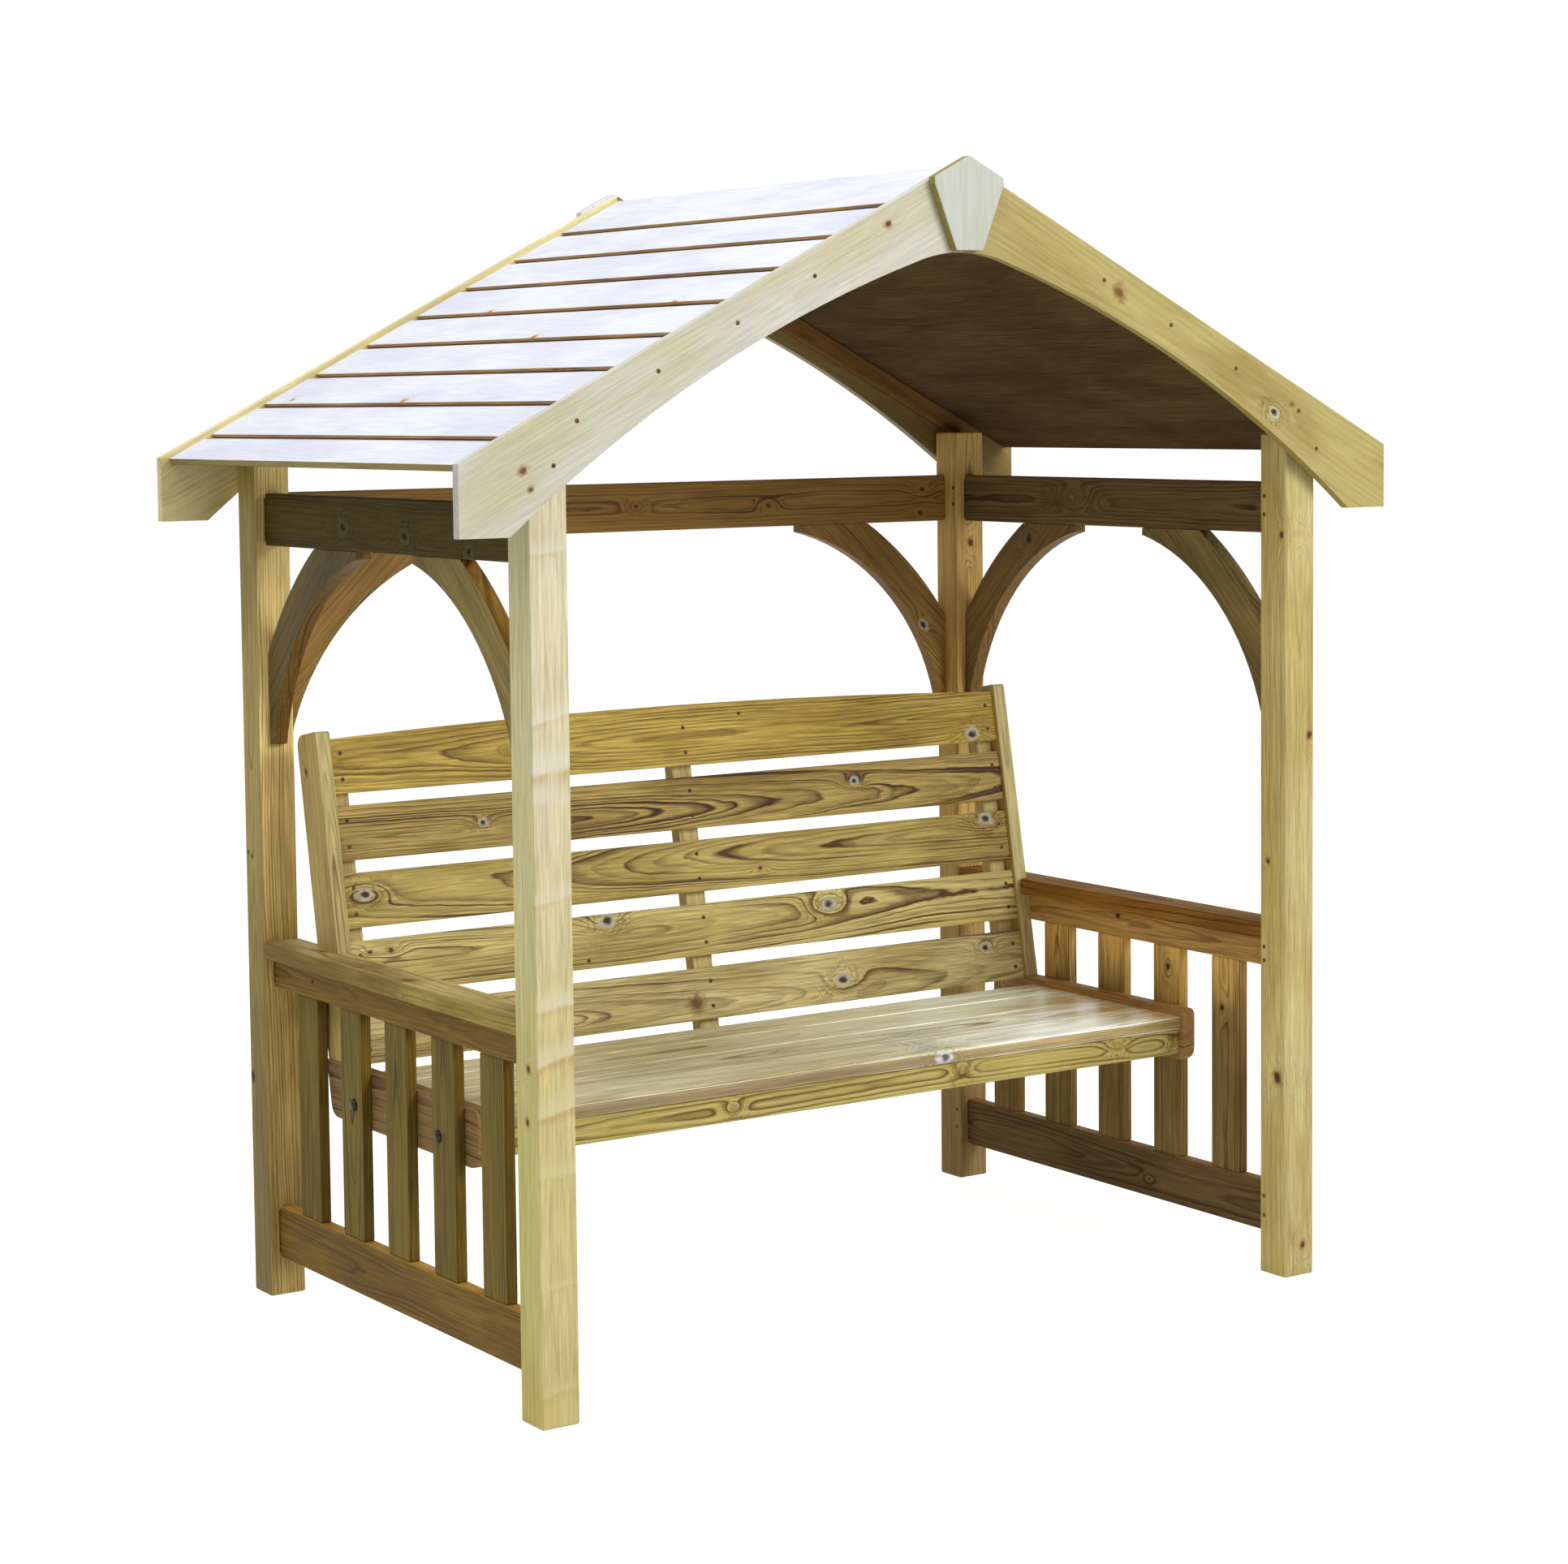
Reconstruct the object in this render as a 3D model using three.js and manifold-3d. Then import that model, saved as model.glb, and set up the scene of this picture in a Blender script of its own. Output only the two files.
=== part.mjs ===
// A garden arbour seat: four posts with braced side frames, a boarded bench with a slatted
// back, and a pitched board roof between arched bargeboards.
// Millimetres. +X is to the right as seen from the front, +Y to the back and +Z up.
// The origin is on the ground, at the middle of the plan.

import * as THREE from 'three';
import { mergeVertices } from 'three/addons/utils/BufferGeometryUtils.js';
import Module from 'manifold-3d';

const wasm = await Module();
wasm.setup();

// Driving sizes of the frame
const fit = 0.3;                 // clearance between two pieces that bear on each other
const postSize = 70;
const frameWidth = 1670;         // over the posts
const frameDepth = 1080;         // over the posts
const postHeight = 1580;
const railThickness = 28;
const tenonLength = 24;
const tenonShoulder = 9;         // step above and below a tenon

const topRailHeight = 95;
const topRailDrop = 90;          // below the tops of the posts
const bottomRailHeight = 95;
const bottomRailUnderside = 72;
const armRailHeight = 54;
const armRise = 126;             // underside of the arm rails above the seat
const armCapThickness = 32;

const paleCount = 5;
const paleWidth = 80;
const paleThickness = 20;
const paleEndGap = 86;           // from a post to the first pale

// Corner braces, measured in the corner that they fill
const braceReach = 365;          // along the rail and down the post
const braceHeel = 198;           // where the upper curve leaves the rail and the post
const braceNib = 14;             // blunt end of each tip
const braceInnerRise = 70;       // rise of the lower curve over its chord
const braceOuterRise = 14;       // rise of the upper curve over its chord

// Seat
const seatTop = 453;
const seatBoardThickness = 26;
const seatJoint = 3;
const seatPitch = 120;
const noseLead = 3;              // extra width of the first board
const seatBackGap = 13.4;        // behind the last board
const bearerThickness = 28;
const bearerLip = 14;            // bearers above the boards
const bearerHeight = 101;
const bearerSetback = 215;       // fronts of the bearers behind the front posts
const bearerLead = 5;            // fronts of the bearers ahead of the first board
const bearerTopRadius = 12;
const bearerFootRadius = 25;
const seatRailHeight = 47;
const seatRailThickness = 28;
const apronSetback = 8;          // apron face behind the nose of the first board
const middleBearerWidth = 45;
const ledgeThickness = 28;       // ledge under the ends of the boards

// Back rest, leaning backwards
const backLean = Math.atan(0.185);
const stileThickness = 28;
const stileDepth = 80;
const backHeight = 608;          // tops of the stiles above the seat
const stilePostGap = 131.1;      // from their upper front corners to the back posts
const stileFrontRadius = 7;
const stileRearRadius = 22;
const slatWidth = 100;
const slatThickness = 20;
const slatPitch = 123;
const slatSetback = 8;           // slat faces behind the front edges of the stiles
const firstSlatDrop = 14.8;      // first slat below the top of the stiles
const crestRise = 18;            // arched upper edge of the first slat
const cleatWidth = 40;
const cleatDepth = 28;
const middleStileWidth = 45;

// Roof
const roofSlope = 0.5086;        // rise over run
const roofOverhang = 143;        // beyond the posts
const roofGap = 27;              // from the outer corners of the posts' tops up to the boards
const roofBoardThickness = 12;
const ridgeBoardCover = 143;     // first board of each slope, from the ridge
const roofBoardCover = 120.3;
const eavesInset = 15.4;         // eaves of the boards inside the ends of the bargeboards
const jointWidth = 18;           // slope cut in each roof board below the edge of the next one up
const jointDepth = 7;
const battenDepth = 38;          // square to the slope
const battenThickness = 16;
const battenInset = 100;         // ends of the battens inside the ends of the bargeboards

const bargeStand = 9.5;          // bargeboards above the roof boards, upright
const bargeThickness = 18;
const bargeEndDepth = 116;       // height of the upright end
const bargeFootLength = 90;
const archRise = 42;             // rise of the arch over its chord
const haunchX = 100;             // where the arch eases into its crown
const haunchDrop = 174.5;        // below the peak of the bargeboards
const crownRise = 18;

const plateStand = 5.5;          // peak of the plates above the peak of the bargeboards
const plateThickness = 18;
const plateHalfWidth = 73;
const plateEdge = 12;            // short upright side of the plate
const plateFootHalf = 28.5;
const plateHeight = 160;

// Fineness of round stretches, and how far cutters stand out of the faces that they cut
const curveSteps = 18;
const cornerSteps = 4;
const overrun = 1;

// Sizes that follow
const postInnerX = frameWidth / 2 - postSize;
const postInnerY = frameDepth / 2 - postSize;
const sidePlane = frameWidth / 2 - postSize / 2;
const backPlane = frameDepth / 2 - railThickness / 2;
const topRailUnderside = postHeight - topRailDrop - topRailHeight;
const palePitch = (2 * (postInnerY - paleEndGap) - paleWidth) / (paleCount - 1);
const armRailUnderside = seatTop + armRise;
const armRailTop = armRailUnderside + armRailHeight;
const bearerX = sidePlane - paleThickness / 2 - fit - bearerThickness / 2;
const bearerInnerX = bearerX - bearerThickness / 2;
const stileX = sidePlane - railThickness / 2 - fit - stileThickness / 2;
const stileInnerX = stileX - stileThickness / 2;
const bearerTop = seatTop + bearerLip;
const bearerFront = bearerSetback - postInnerY;
const stileTop = seatTop + backHeight;
const stileTopY = postInnerY - stilePostGap;
const stileRun = stileDepth / Math.cos(backLean);   // depth of a stile measured level
const seatNose = bearerFront + bearerLead;
const seatRear = stileFrontAt(seatTop) - seatBackGap;
const seatUnderside = seatTop - seatBoardThickness;
const seatRailTop = seatUnderside - fit;
const seatRailFoot = seatRailTop - seatRailHeight;
const apronFront = seatNose + apronSetback;
const apronBack = apronFront + seatRailThickness;
const slatRoom = backHeight / Math.cos(backLean) - firstSlatDrop;
const slatCount = Math.floor((slatRoom + slatPitch - slatWidth) / slatPitch);
const roofAngle = Math.atan(roofSlope);
const roofPeak = postHeight + roofGap + roofBoardThickness / Math.cos(roofAngle) + roofSlope * frameWidth / 2;
const bargeEnd = frameWidth / 2 + roofOverhang;
const bargePeak = roofPeak + bargeStand;
const bargeFoot = bargePeak - bargeEnd * roofSlope - bargeEndDepth;
const haunchZ = bargePeak - haunchDrop;
const platePeak = bargePeak + plateStand;
const battenFace = frameDepth / 2 + fit + battenThickness;
const bargeInner = battenFace + fit;
const bargeOuter = bargeInner + bargeThickness;

const axisX = new THREE.Vector3(1, 0, 0);
const axisY = new THREE.Vector3(0, 1, 0);
const axisZ = new THREE.Vector3(0, 0, 1);

// Treated softwood, greener on the boards that face the weather, and plain metal
const timber = { roughness: 0.75, metalness: 0 };
const postWood = new THREE.MeshStandardMaterial({ color: 0xd9cd9a, ...timber });
const frameWood = new THREE.MeshStandardMaterial({ color: 0xa89a62, ...timber });
const seatWood = new THREE.MeshStandardMaterial({ color: 0xb9a878, ...timber });
const slatWood = new THREE.MeshStandardMaterial({ color: 0xa5924b, ...timber });
const roofWood = new THREE.MeshStandardMaterial({ color: 0xc6bd98, ...timber });

const arbour = new THREE.Group();
const sides = [['left', -1], ['right', 1]];
const ends = [['front', -1], ['back', 1]];

function add(name, geometry, material, x = 0, y = 0, z = 0) {
  const mesh = new THREE.Mesh(geometry, material);
  mesh.name = name;
  mesh.position.set(x, y, z);
  arbour.add(mesh);
  return mesh;
}

// Points of an arc from one point to another, bowed to the left of the way by its rise.
function arcBetween(start, end, rise, steps = curveSteps) {
  const chord = new THREE.Vector2().subVectors(end, start);
  const half = chord.length() / 2;
  const radius = (half * half + rise * rise) / (2 * rise);
  const left = new THREE.Vector2(-chord.y, chord.x).normalize();
  const centre = start.clone().lerp(end, 0.5).addScaledVector(left, rise - radius);
  const spread = Math.asin(half / radius);
  const middle = left.angle();
  const points = [];
  for (let i = 0; i <= steps; i += 1) {
    const angle = middle + spread * (1 - 2 * i / steps);
    points.push(new THREE.Vector2(Math.cos(angle), Math.sin(angle)).multiplyScalar(radius).add(centre));
  }
  return points;
}

// An outline whose corners are [x, y] or [x, y, radius].
function outline(corners) {
  const points = [];
  corners.forEach(([x, y, radius = 0], i) => {
    const corner = new THREE.Vector2(x, y);
    if (radius === 0) {
      points.push(corner);
      return;
    }
    const before = corners[(i + corners.length - 1) % corners.length];
    const after = corners[(i + 1) % corners.length];
    const back = new THREE.Vector2(before[0], before[1]).sub(corner).normalize();
    const ahead = new THREE.Vector2(after[0], after[1]).sub(corner).normalize();
    const half = Math.acos(THREE.MathUtils.clamp(back.dot(ahead), -1, 1)) / 2;
    const centre = back.clone().add(ahead).normalize().multiplyScalar(radius / Math.sin(half)).add(corner);
    const start = corner.clone().addScaledVector(back, radius / Math.tan(half)).sub(centre).angle();
    const end = corner.clone().addScaledVector(ahead, radius / Math.tan(half)).sub(centre).angle();
    const turn = Math.atan2(Math.sin(end - start), Math.cos(end - start));
    for (let step = 0; step <= cornerSteps; step += 1) {
      const angle = start + turn * step / cornerSteps;
      points.push(new THREE.Vector2(Math.cos(angle), Math.sin(angle)).multiplyScalar(radius).add(centre));
    }
  });
  return new THREE.Shape(points);
}

function extruded(shape, thickness, across, up, along) {
  const geometry = new THREE.ExtrudeGeometry(shape, { depth: thickness, bevelEnabled: false });
  geometry.translate(0, 0, -thickness / 2);
  geometry.applyMatrix4(new THREE.Matrix4().makeBasis(across, up, along));
  return geometry;
}

// An outline drawn in Y and Z, with its thickness along X.
function sidePlate(shape, thickness) {
  return extruded(shape, thickness, axisY, axisZ, axisX);
}

// An outline drawn in X and Z, with its thickness along Y.
function frontPlate(shape, thickness) {
  return extruded(shape, thickness, axisX, axisZ, axisY.clone().negate());
}

function toSolid(geometry) {
  const bare = geometry.clone();
  bare.deleteAttribute('normal');
  bare.deleteAttribute('uv');
  const merged = mergeVertices(bare);
  return new wasm.Manifold(new wasm.Mesh({
    numProp: 3,
    vertProperties: new Float32Array(merged.attributes.position.array),
    triVerts: new Uint32Array(merged.index.array),
  }));
}

function fromSolid(solid) {
  const { vertProperties, triVerts } = solid.getMesh();
  const geometry = new THREE.BufferGeometry();
  geometry.setAttribute('position', new THREE.BufferAttribute(vertProperties, 3));
  geometry.setIndex(new THREE.BufferAttribute(triVerts, 1));
  return geometry;
}

// Cuts the tools, which stand in the arbour's frame, out of a piece.
function cut(mesh, tools) {
  mesh.updateMatrixWorld();
  const toPiece = mesh.matrixWorld.clone().invert();
  let solid = toSolid(mesh.geometry);
  tools.forEach((tool) => {
    solid = solid.subtract(toSolid(tool.clone().applyMatrix4(toPiece)));
  });
  mesh.geometry = fromSolid(solid);
}

function block(sizeX, sizeY, sizeZ, x, y, z) {
  return new THREE.BoxGeometry(sizeX, sizeY, sizeZ).translate(x, y, z);
}

// Posts, and the rails tenoned into them

const posts = {};
const mortises = {};

function addPosts() {
  for (const [sideName, side] of sides) {
    for (const [endName, end] of ends) {
      const name = `post_${endName}_${sideName}`;
      const y = end * (frameDepth - postSize) / 2;
      posts[name] = add(name, new THREE.BoxGeometry(postSize, postSize, postHeight), postWood,
        side * sidePlane, y, postHeight / 2);
      mortises[name] = [];
    }
  }
}

function railOutline(span, height) {
  const shoulder = span / 2 - fit;
  const tip = span / 2 + tenonLength;
  const edge = height / 2;
  const tenon = edge - tenonShoulder;
  return outline([
    [-shoulder, -edge], [shoulder, -edge], [shoulder, -tenon], [tip, -tenon], [tip, tenon],
    [shoulder, tenon], [shoulder, edge], [-shoulder, edge], [-shoulder, tenon], [-tip, tenon],
    [-tip, -tenon], [-shoulder, -tenon],
  ]);
}

function mortise(height, x, y, z, alongX) {
  const deep = 2 * (tenonLength + fit);
  const wide = railThickness + 2 * fit;
  const tall = height - 2 * tenonShoulder + 2 * fit;
  return alongX ? block(deep, wide, tall, x, y, z) : block(wide, deep, tall, x, y, z);
}

function addSideRail(name, side, sideName, height, underside) {
  const z = underside + height / 2;
  add(name, sidePlate(railOutline(2 * postInnerY, height), railThickness), frameWood, side * sidePlane, 0, z);
  for (const [endName, end] of ends) {
    mortises[`post_${endName}_${sideName}`].push(
      mortise(height, side * sidePlane, end * postInnerY, z, false));
  }
}

function addBackRail() {
  const z = topRailUnderside + topRailHeight / 2;
  add('top_rail_back', frontPlate(railOutline(2 * postInnerX, topRailHeight), railThickness), frameWood,
    0, backPlane, z);
  for (const [sideName, side] of sides) {
    mortises[`post_back_${sideName}`].push(mortise(topRailHeight, side * postInnerX, backPlane, z, true));
  }
}

// Side frames

function addPales(sideName, side) {
  const foot = bottomRailUnderside + bottomRailHeight + fit;
  const length = armRailUnderside - fit - foot;
  for (let i = 0; i < paleCount; i += 1) {
    const y = (i - (paleCount - 1) / 2) * palePitch;
    add(`pale_${sideName}_${i + 1}`, new THREE.BoxGeometry(paleThickness, paleWidth, length), frameWood,
      side * sidePlane, y, foot + length / 2);
  }
}

function stileFrontAt(z) {
  return stileTopY - (stileTop - z) * Math.tan(backLean);
}

function addArmCap(sideName, side) {
  const centre = armRailTop + fit + armCapThickness / 2;
  const cap = add(`arm_cap_${sideName}`,
    new THREE.BoxGeometry(postSize, 2 * (postInnerY - fit), armCapThickness), frameWood,
    side * sidePlane, 0, centre);
  const notchFront = stileFrontAt(centre - armCapThickness / 2) - fit;
  const notchBack = stileFrontAt(centre + armCapThickness / 2) + stileRun + fit;
  const notchDepth = 2 * (stileX + stileThickness / 2 + fit - postInnerX);
  cut(cap, [block(notchDepth, notchBack - notchFront, armCapThickness + 2 * overrun,
    side * postInnerX, (notchFront + notchBack) / 2, centre)]);
}

function braceOutline() {
  const tip = braceReach;
  const inner = arcBetween(new THREE.Vector2(braceNib, -tip), new THREE.Vector2(tip, -braceNib), braceInnerRise);
  const outer = arcBetween(new THREE.Vector2(fit, -braceHeel), new THREE.Vector2(braceHeel, -fit),
    braceOuterRise).reverse();
  return new THREE.Shape([
    ...inner,
    new THREE.Vector2(tip, -fit),
    ...outer,
    new THREE.Vector2(fit, -tip),
  ]);
}

function mirrored(shape) {
  return new THREE.Shape(shape.getPoints().map((point) => new THREE.Vector2(-point.x, point.y)));
}

function addBraces() {
  for (const [sideName, side] of sides) {
    for (const [endName, end] of ends) {
      const shape = end < 0 ? braceOutline() : mirrored(braceOutline());
      add(`brace_${sideName}_${endName}`, sidePlate(shape, railThickness), frameWood,
        side * sidePlane, end * postInnerY, topRailUnderside);
    }
    const shape = side < 0 ? braceOutline() : mirrored(braceOutline());
    add(`brace_back_${sideName}`, frontPlate(shape, railThickness), frameWood,
      side * postInnerX, backPlane, topRailUnderside);
  }
}

// Seat

// A bar under the boards, from the apron back to the leaning rear rail.
function seatBar(width) {
  return sidePlate(outline([
    [apronBack + fit, seatRailFoot], [stileFrontAt(seatRailFoot) - fit, seatRailFoot],
    [stileFrontAt(seatRailTop) - fit, seatRailTop], [apronBack + fit, seatRailTop],
  ]), width);
}

// An end bearer, with the ledge on its inner face that carries the ends of the boards.
function addBearer(sideName, side) {
  const foot = bearerTop - bearerHeight;
  const rear = (z) => stileFrontAt(z) + stileRun;
  const cheek = sidePlate(outline([
    [bearerFront, foot, bearerFootRadius], [rear(foot), foot, bearerFootRadius],
    [rear(bearerTop), bearerTop], [bearerFront, bearerTop, bearerTopRadius],
  ]), bearerThickness);
  const ledge = seatBar(ledgeThickness + bearerThickness / 2);
  ledge.translate(-side * (ledgeThickness + bearerThickness / 2) / 2, 0, 0);
  add(`seat_bearer_${sideName}`, fromSolid(toSolid(cheek).add(toSolid(ledge))), seatWood, side * bearerX);
}

function addApron() {
  add('apron', new THREE.BoxGeometry(2 * (bearerInnerX - fit), seatRailThickness, seatRailHeight), seatWood,
    0, apronFront + seatRailThickness / 2, (seatRailTop + seatRailFoot) / 2);
}

function addSeatBoards() {
  const length = 2 * (bearerInnerX - fit);
  const nose = seatBoardThickness / 2 - fit;
  const joint = (index) => seatNose + noseLead + index * seatPitch;
  const count = Math.ceil((seatRear - joint(0)) / seatPitch);
  for (let i = 0; i < count; i += 1) {
    const front = i === 0 ? seatNose : joint(i) + seatJoint / 2;
    const back = i === count - 1 ? seatRear : joint(i + 1) - seatJoint / 2;
    const round = i === 0 ? nose : 0;
    add(`seat_board_${i + 1}`, sidePlate(outline([
      [front, seatUnderside, round], [back, seatUnderside], [back, seatTop], [front, seatTop, round],
    ]), length), seatWood);
  }
}

// Back rest. A place on it is given behind the front edges of the stiles and down from their tops.

function leaning(behind, down) {
  return [
    stileTopY + behind * Math.cos(backLean) - down * Math.sin(backLean),
    stileTop - behind * Math.sin(backLean) - down * Math.cos(backLean),
  ];
}

function leaningBar(front, back, top, bottom) {
  return outline([leaning(front, bottom), leaning(back, bottom), leaning(back, top), leaning(front, top)]);
}

const slatBack = slatSetback + slatThickness;
const cleatFront = slatBack + fit;
const backCleatX = stileInnerX - fit - cleatWidth / 2;
const slatEndX = stileInnerX - fit;

function slatTopDrop(index) {
  return firstSlatDrop + index * slatPitch;
}

function addStile(sideName, side) {
  const foot = bearerTop + fit;
  add(`back_stile_${sideName}`, sidePlate(outline([
    [stileFrontAt(foot), foot], [stileFrontAt(foot) + stileRun, foot],
    [...leaning(stileDepth, 0), stileRearRadius], [...leaning(0, 0), stileFrontRadius],
  ]), stileThickness), frameWood, side * stileX);
}

// The first slat, whose upper edge is arched.
function crestSlat() {
  const crest = arcBetween(
    new THREE.Vector2(-slatEndX, slatWidth), new THREE.Vector2(slatEndX, slatWidth), crestRise);
  const shape = new THREE.Shape([
    new THREE.Vector2(-slatEndX, 0), new THREE.Vector2(slatEndX, 0), ...crest.reverse(),
  ]);
  const up = new THREE.Vector3(0, Math.sin(backLean), Math.cos(backLean));
  const out = new THREE.Vector3(0, -Math.cos(backLean), Math.sin(backLean));
  const [y, z] = leaning(slatSetback + slatThickness / 2, firstSlatDrop + slatWidth);
  return extruded(shape, slatThickness, axisX, up, out).translate(0, y, z);
}

function addSlats() {
  add('back_slat_1', crestSlat(), slatWood);
  for (let i = 1; i < slatCount; i += 1) {
    const top = slatTopDrop(i);
    add(`back_slat_${i + 1}`,
      sidePlate(leaningBar(slatSetback, slatBack, top, top + slatWidth), 2 * slatEndX), slatWood);
  }
}

function addSlatSupports() {
  const top = slatTopDrop(0);
  const bottom = slatTopDrop(slatCount - 1) + slatWidth;
  for (const [sideName, side] of sides) {
    add(`back_cleat_${sideName}`,
      sidePlate(leaningBar(cleatFront, cleatFront + cleatDepth, top, bottom), cleatWidth), frameWood,
      side * backCleatX);
  }
  const railDrop = (stileTop - seatRailTop) / Math.cos(backLean);
  const railFoot = railDrop + seatRailHeight;
  add('seat_rail_back',
    sidePlate(leaningBar(0, slatBack, railDrop, railFoot), 2 * (bearerInnerX - fit)), seatWood);
  add('back_stile_middle',
    sidePlate(leaningBar(cleatFront, cleatFront + cleatDepth, top, railFoot), middleStileWidth), frameWood);
}

// Roof

// A place on the right-hand slope: down the slope from the ridge, and square to the upper faces.
function onSlope(down, above) {
  return [
    down * Math.cos(roofAngle) + above * Math.sin(roofAngle),
    roofPeak - down * Math.sin(roofAngle) + above * Math.cos(roofAngle),
  ];
}

// The section of one slope: its boards side by side. Each board's lower edge stands over the next board,
// whose upper face slopes down to meet it.
function roofOutline() {
  const under = -roofBoardThickness;
  const length = (bargeEnd - eavesInset) / Math.cos(roofAngle);
  const ridgeCut = (above) => (fit - above * Math.sin(roofAngle)) / Math.cos(roofAngle);
  const upper = [[ridgeCut(0), 0]];
  for (let joint = ridgeBoardCover; joint + jointWidth < length; joint += roofBoardCover) {
    upper.push([joint, 0], [joint, -jointDepth], [joint + jointWidth, 0]);
  }
  const section = [...upper, [length, 0], [length, under], [ridgeCut(under), under]];
  return outline(section.map(([down, above]) => onSlope(down, above)));
}

function addRoofBoards(sideName, side) {
  const shape = side > 0 ? roofOutline() : mirrored(roofOutline());
  add(`roof_boards_${sideName}`, frontPlate(shape, 2 * (bargeInner - fit)), roofWood);
}

function addBatten(endName, end, sideName, side) {
  const upper = (x) => roofPeak - (roofBoardThickness + fit) / Math.cos(roofAngle) - x * roofSlope;
  const lower = (x) => upper(x) - battenDepth / Math.cos(roofAngle);
  const battenEnd = bargeEnd - battenInset;
  const shape = outline([[fit, lower(fit)], [battenEnd, lower(battenEnd)], [battenEnd, upper(battenEnd)],
    [fit, upper(fit)]]);
  add(`roof_batten_${endName}_${sideName}`,
    frontPlate(side > 0 ? shape : mirrored(shape), battenThickness), frameWood,
    0, end * (battenFace - battenThickness / 2));
}

function bargeOutline() {
  const top = (x) => bargePeak - x * roofSlope;
  const crownZ = haunchZ + crownRise;
  const heel = new THREE.Vector2(bargeEnd - bargeFootLength, bargeFoot);
  const haunch = new THREE.Vector2(haunchX, haunchZ);
  const crown = arcBetween(haunch, new THREE.Vector2(-haunchX, haunchZ), -crownRise);
  return new THREE.Shape([
    new THREE.Vector2(fit, top(fit)),
    new THREE.Vector2(fit, crownZ),
    ...crown.filter((point) => point.x > fit).reverse(),
    ...arcBetween(haunch, heel, archRise).slice(1),
    new THREE.Vector2(bargeEnd, bargeFoot),
    new THREE.Vector2(bargeEnd, top(bargeEnd)),
  ]);
}

function addBarge(endName, end, sideName, side) {
  const shape = side > 0 ? bargeOutline() : mirrored(bargeOutline());
  add(`bargeboard_${endName}_${sideName}`, frontPlate(shape, bargeThickness), frameWood,
    0, end * (bargeOuter - bargeThickness / 2));
}

function addPlate(endName, end) {
  const shoulder = platePeak - plateHalfWidth * roofSlope;
  const shape = outline([
    [0, platePeak], [-plateHalfWidth, shoulder], [-plateHalfWidth, shoulder - plateEdge],
    [-plateFootHalf, platePeak - plateHeight], [plateFootHalf, platePeak - plateHeight],
    [plateHalfWidth, shoulder - plateEdge], [plateHalfWidth, shoulder],
  ]);
  add(`apex_plate_${endName}`, frontPlate(shape, plateThickness), frameWood,
    0, end * (bargeOuter + fit + plateThickness / 2));
}

// Putting it together

addPosts();
for (const [sideName, side] of sides) {
  addSideRail(`top_rail_${sideName}`, side, sideName, topRailHeight, topRailUnderside);
  addSideRail(`bottom_rail_${sideName}`, side, sideName, bottomRailHeight, bottomRailUnderside);
  addSideRail(`arm_rail_${sideName}`, side, sideName, armRailHeight, armRailUnderside);
  addArmCap(sideName, side);
  addPales(sideName, side);
  addBearer(sideName, side);
  addStile(sideName, side);
  addRoofBoards(sideName, side);
}
addBackRail();
addBraces();
addApron();
addSeatBoards();
add('seat_bearer_middle', seatBar(middleBearerWidth), seatWood);
addSlats();
addSlatSupports();
for (const [endName, end] of ends) {
  for (const [sideName, side] of sides) {
    addBatten(endName, end, sideName, side);
    addBarge(endName, end, sideName, side);
  }
  addPlate(endName, end);
}
Object.keys(posts).forEach((name) => cut(posts[name], mortises[name]));

export default arbour;
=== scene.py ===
# %% [markdown]
# # A garden arbour seat
#
# The frame that comes with this lesson holds every piece of wood at its real size and place. Here the
# pieces get their rounded edges, their grain, knots and stains, and the fastenings that hold them, and
# they are set in a plain, pale studio.

# %% Load the frame
import math

import bmesh
import bpy
from mathutils import Matrix, Vector


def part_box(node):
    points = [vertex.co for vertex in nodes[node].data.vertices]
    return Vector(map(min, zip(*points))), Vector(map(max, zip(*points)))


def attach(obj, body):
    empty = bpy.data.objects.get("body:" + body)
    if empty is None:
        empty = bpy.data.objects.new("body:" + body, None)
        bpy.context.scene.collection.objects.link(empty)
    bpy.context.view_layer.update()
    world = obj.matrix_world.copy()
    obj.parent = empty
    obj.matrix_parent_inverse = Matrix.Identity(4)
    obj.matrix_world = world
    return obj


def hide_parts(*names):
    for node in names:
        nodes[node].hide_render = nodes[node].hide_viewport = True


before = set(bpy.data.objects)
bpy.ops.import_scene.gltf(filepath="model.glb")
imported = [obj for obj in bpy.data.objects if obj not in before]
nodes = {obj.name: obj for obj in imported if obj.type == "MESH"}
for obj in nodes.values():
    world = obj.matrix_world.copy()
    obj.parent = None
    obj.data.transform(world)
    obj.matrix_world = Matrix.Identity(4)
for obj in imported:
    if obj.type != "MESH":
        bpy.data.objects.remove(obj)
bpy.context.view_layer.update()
print("wooden pieces in the frame:", len(nodes))

# %% [markdown]
# ## The camera
#
# The seat is seen from its front left, from a little over head height, with a long lens. The small shift
# keeps the posts upright in the picture while the camera looks almost level, as a product photographer
# would do it.

# %% Set up the camera
IMAGE_WIDTH = 1932
SENSOR = 36.0
FOCAL_PIXELS = 4135.4
HORIZON_ROW = 800.0
CENTRE_ROW = 963.5
CAMERA_PLACE = Vector((-3.4548, -5.1546, 1.6517))
YAW, PITCH, ROLL = math.radians(33.914), math.radians(-4.254), math.radians(-0.585)

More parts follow.
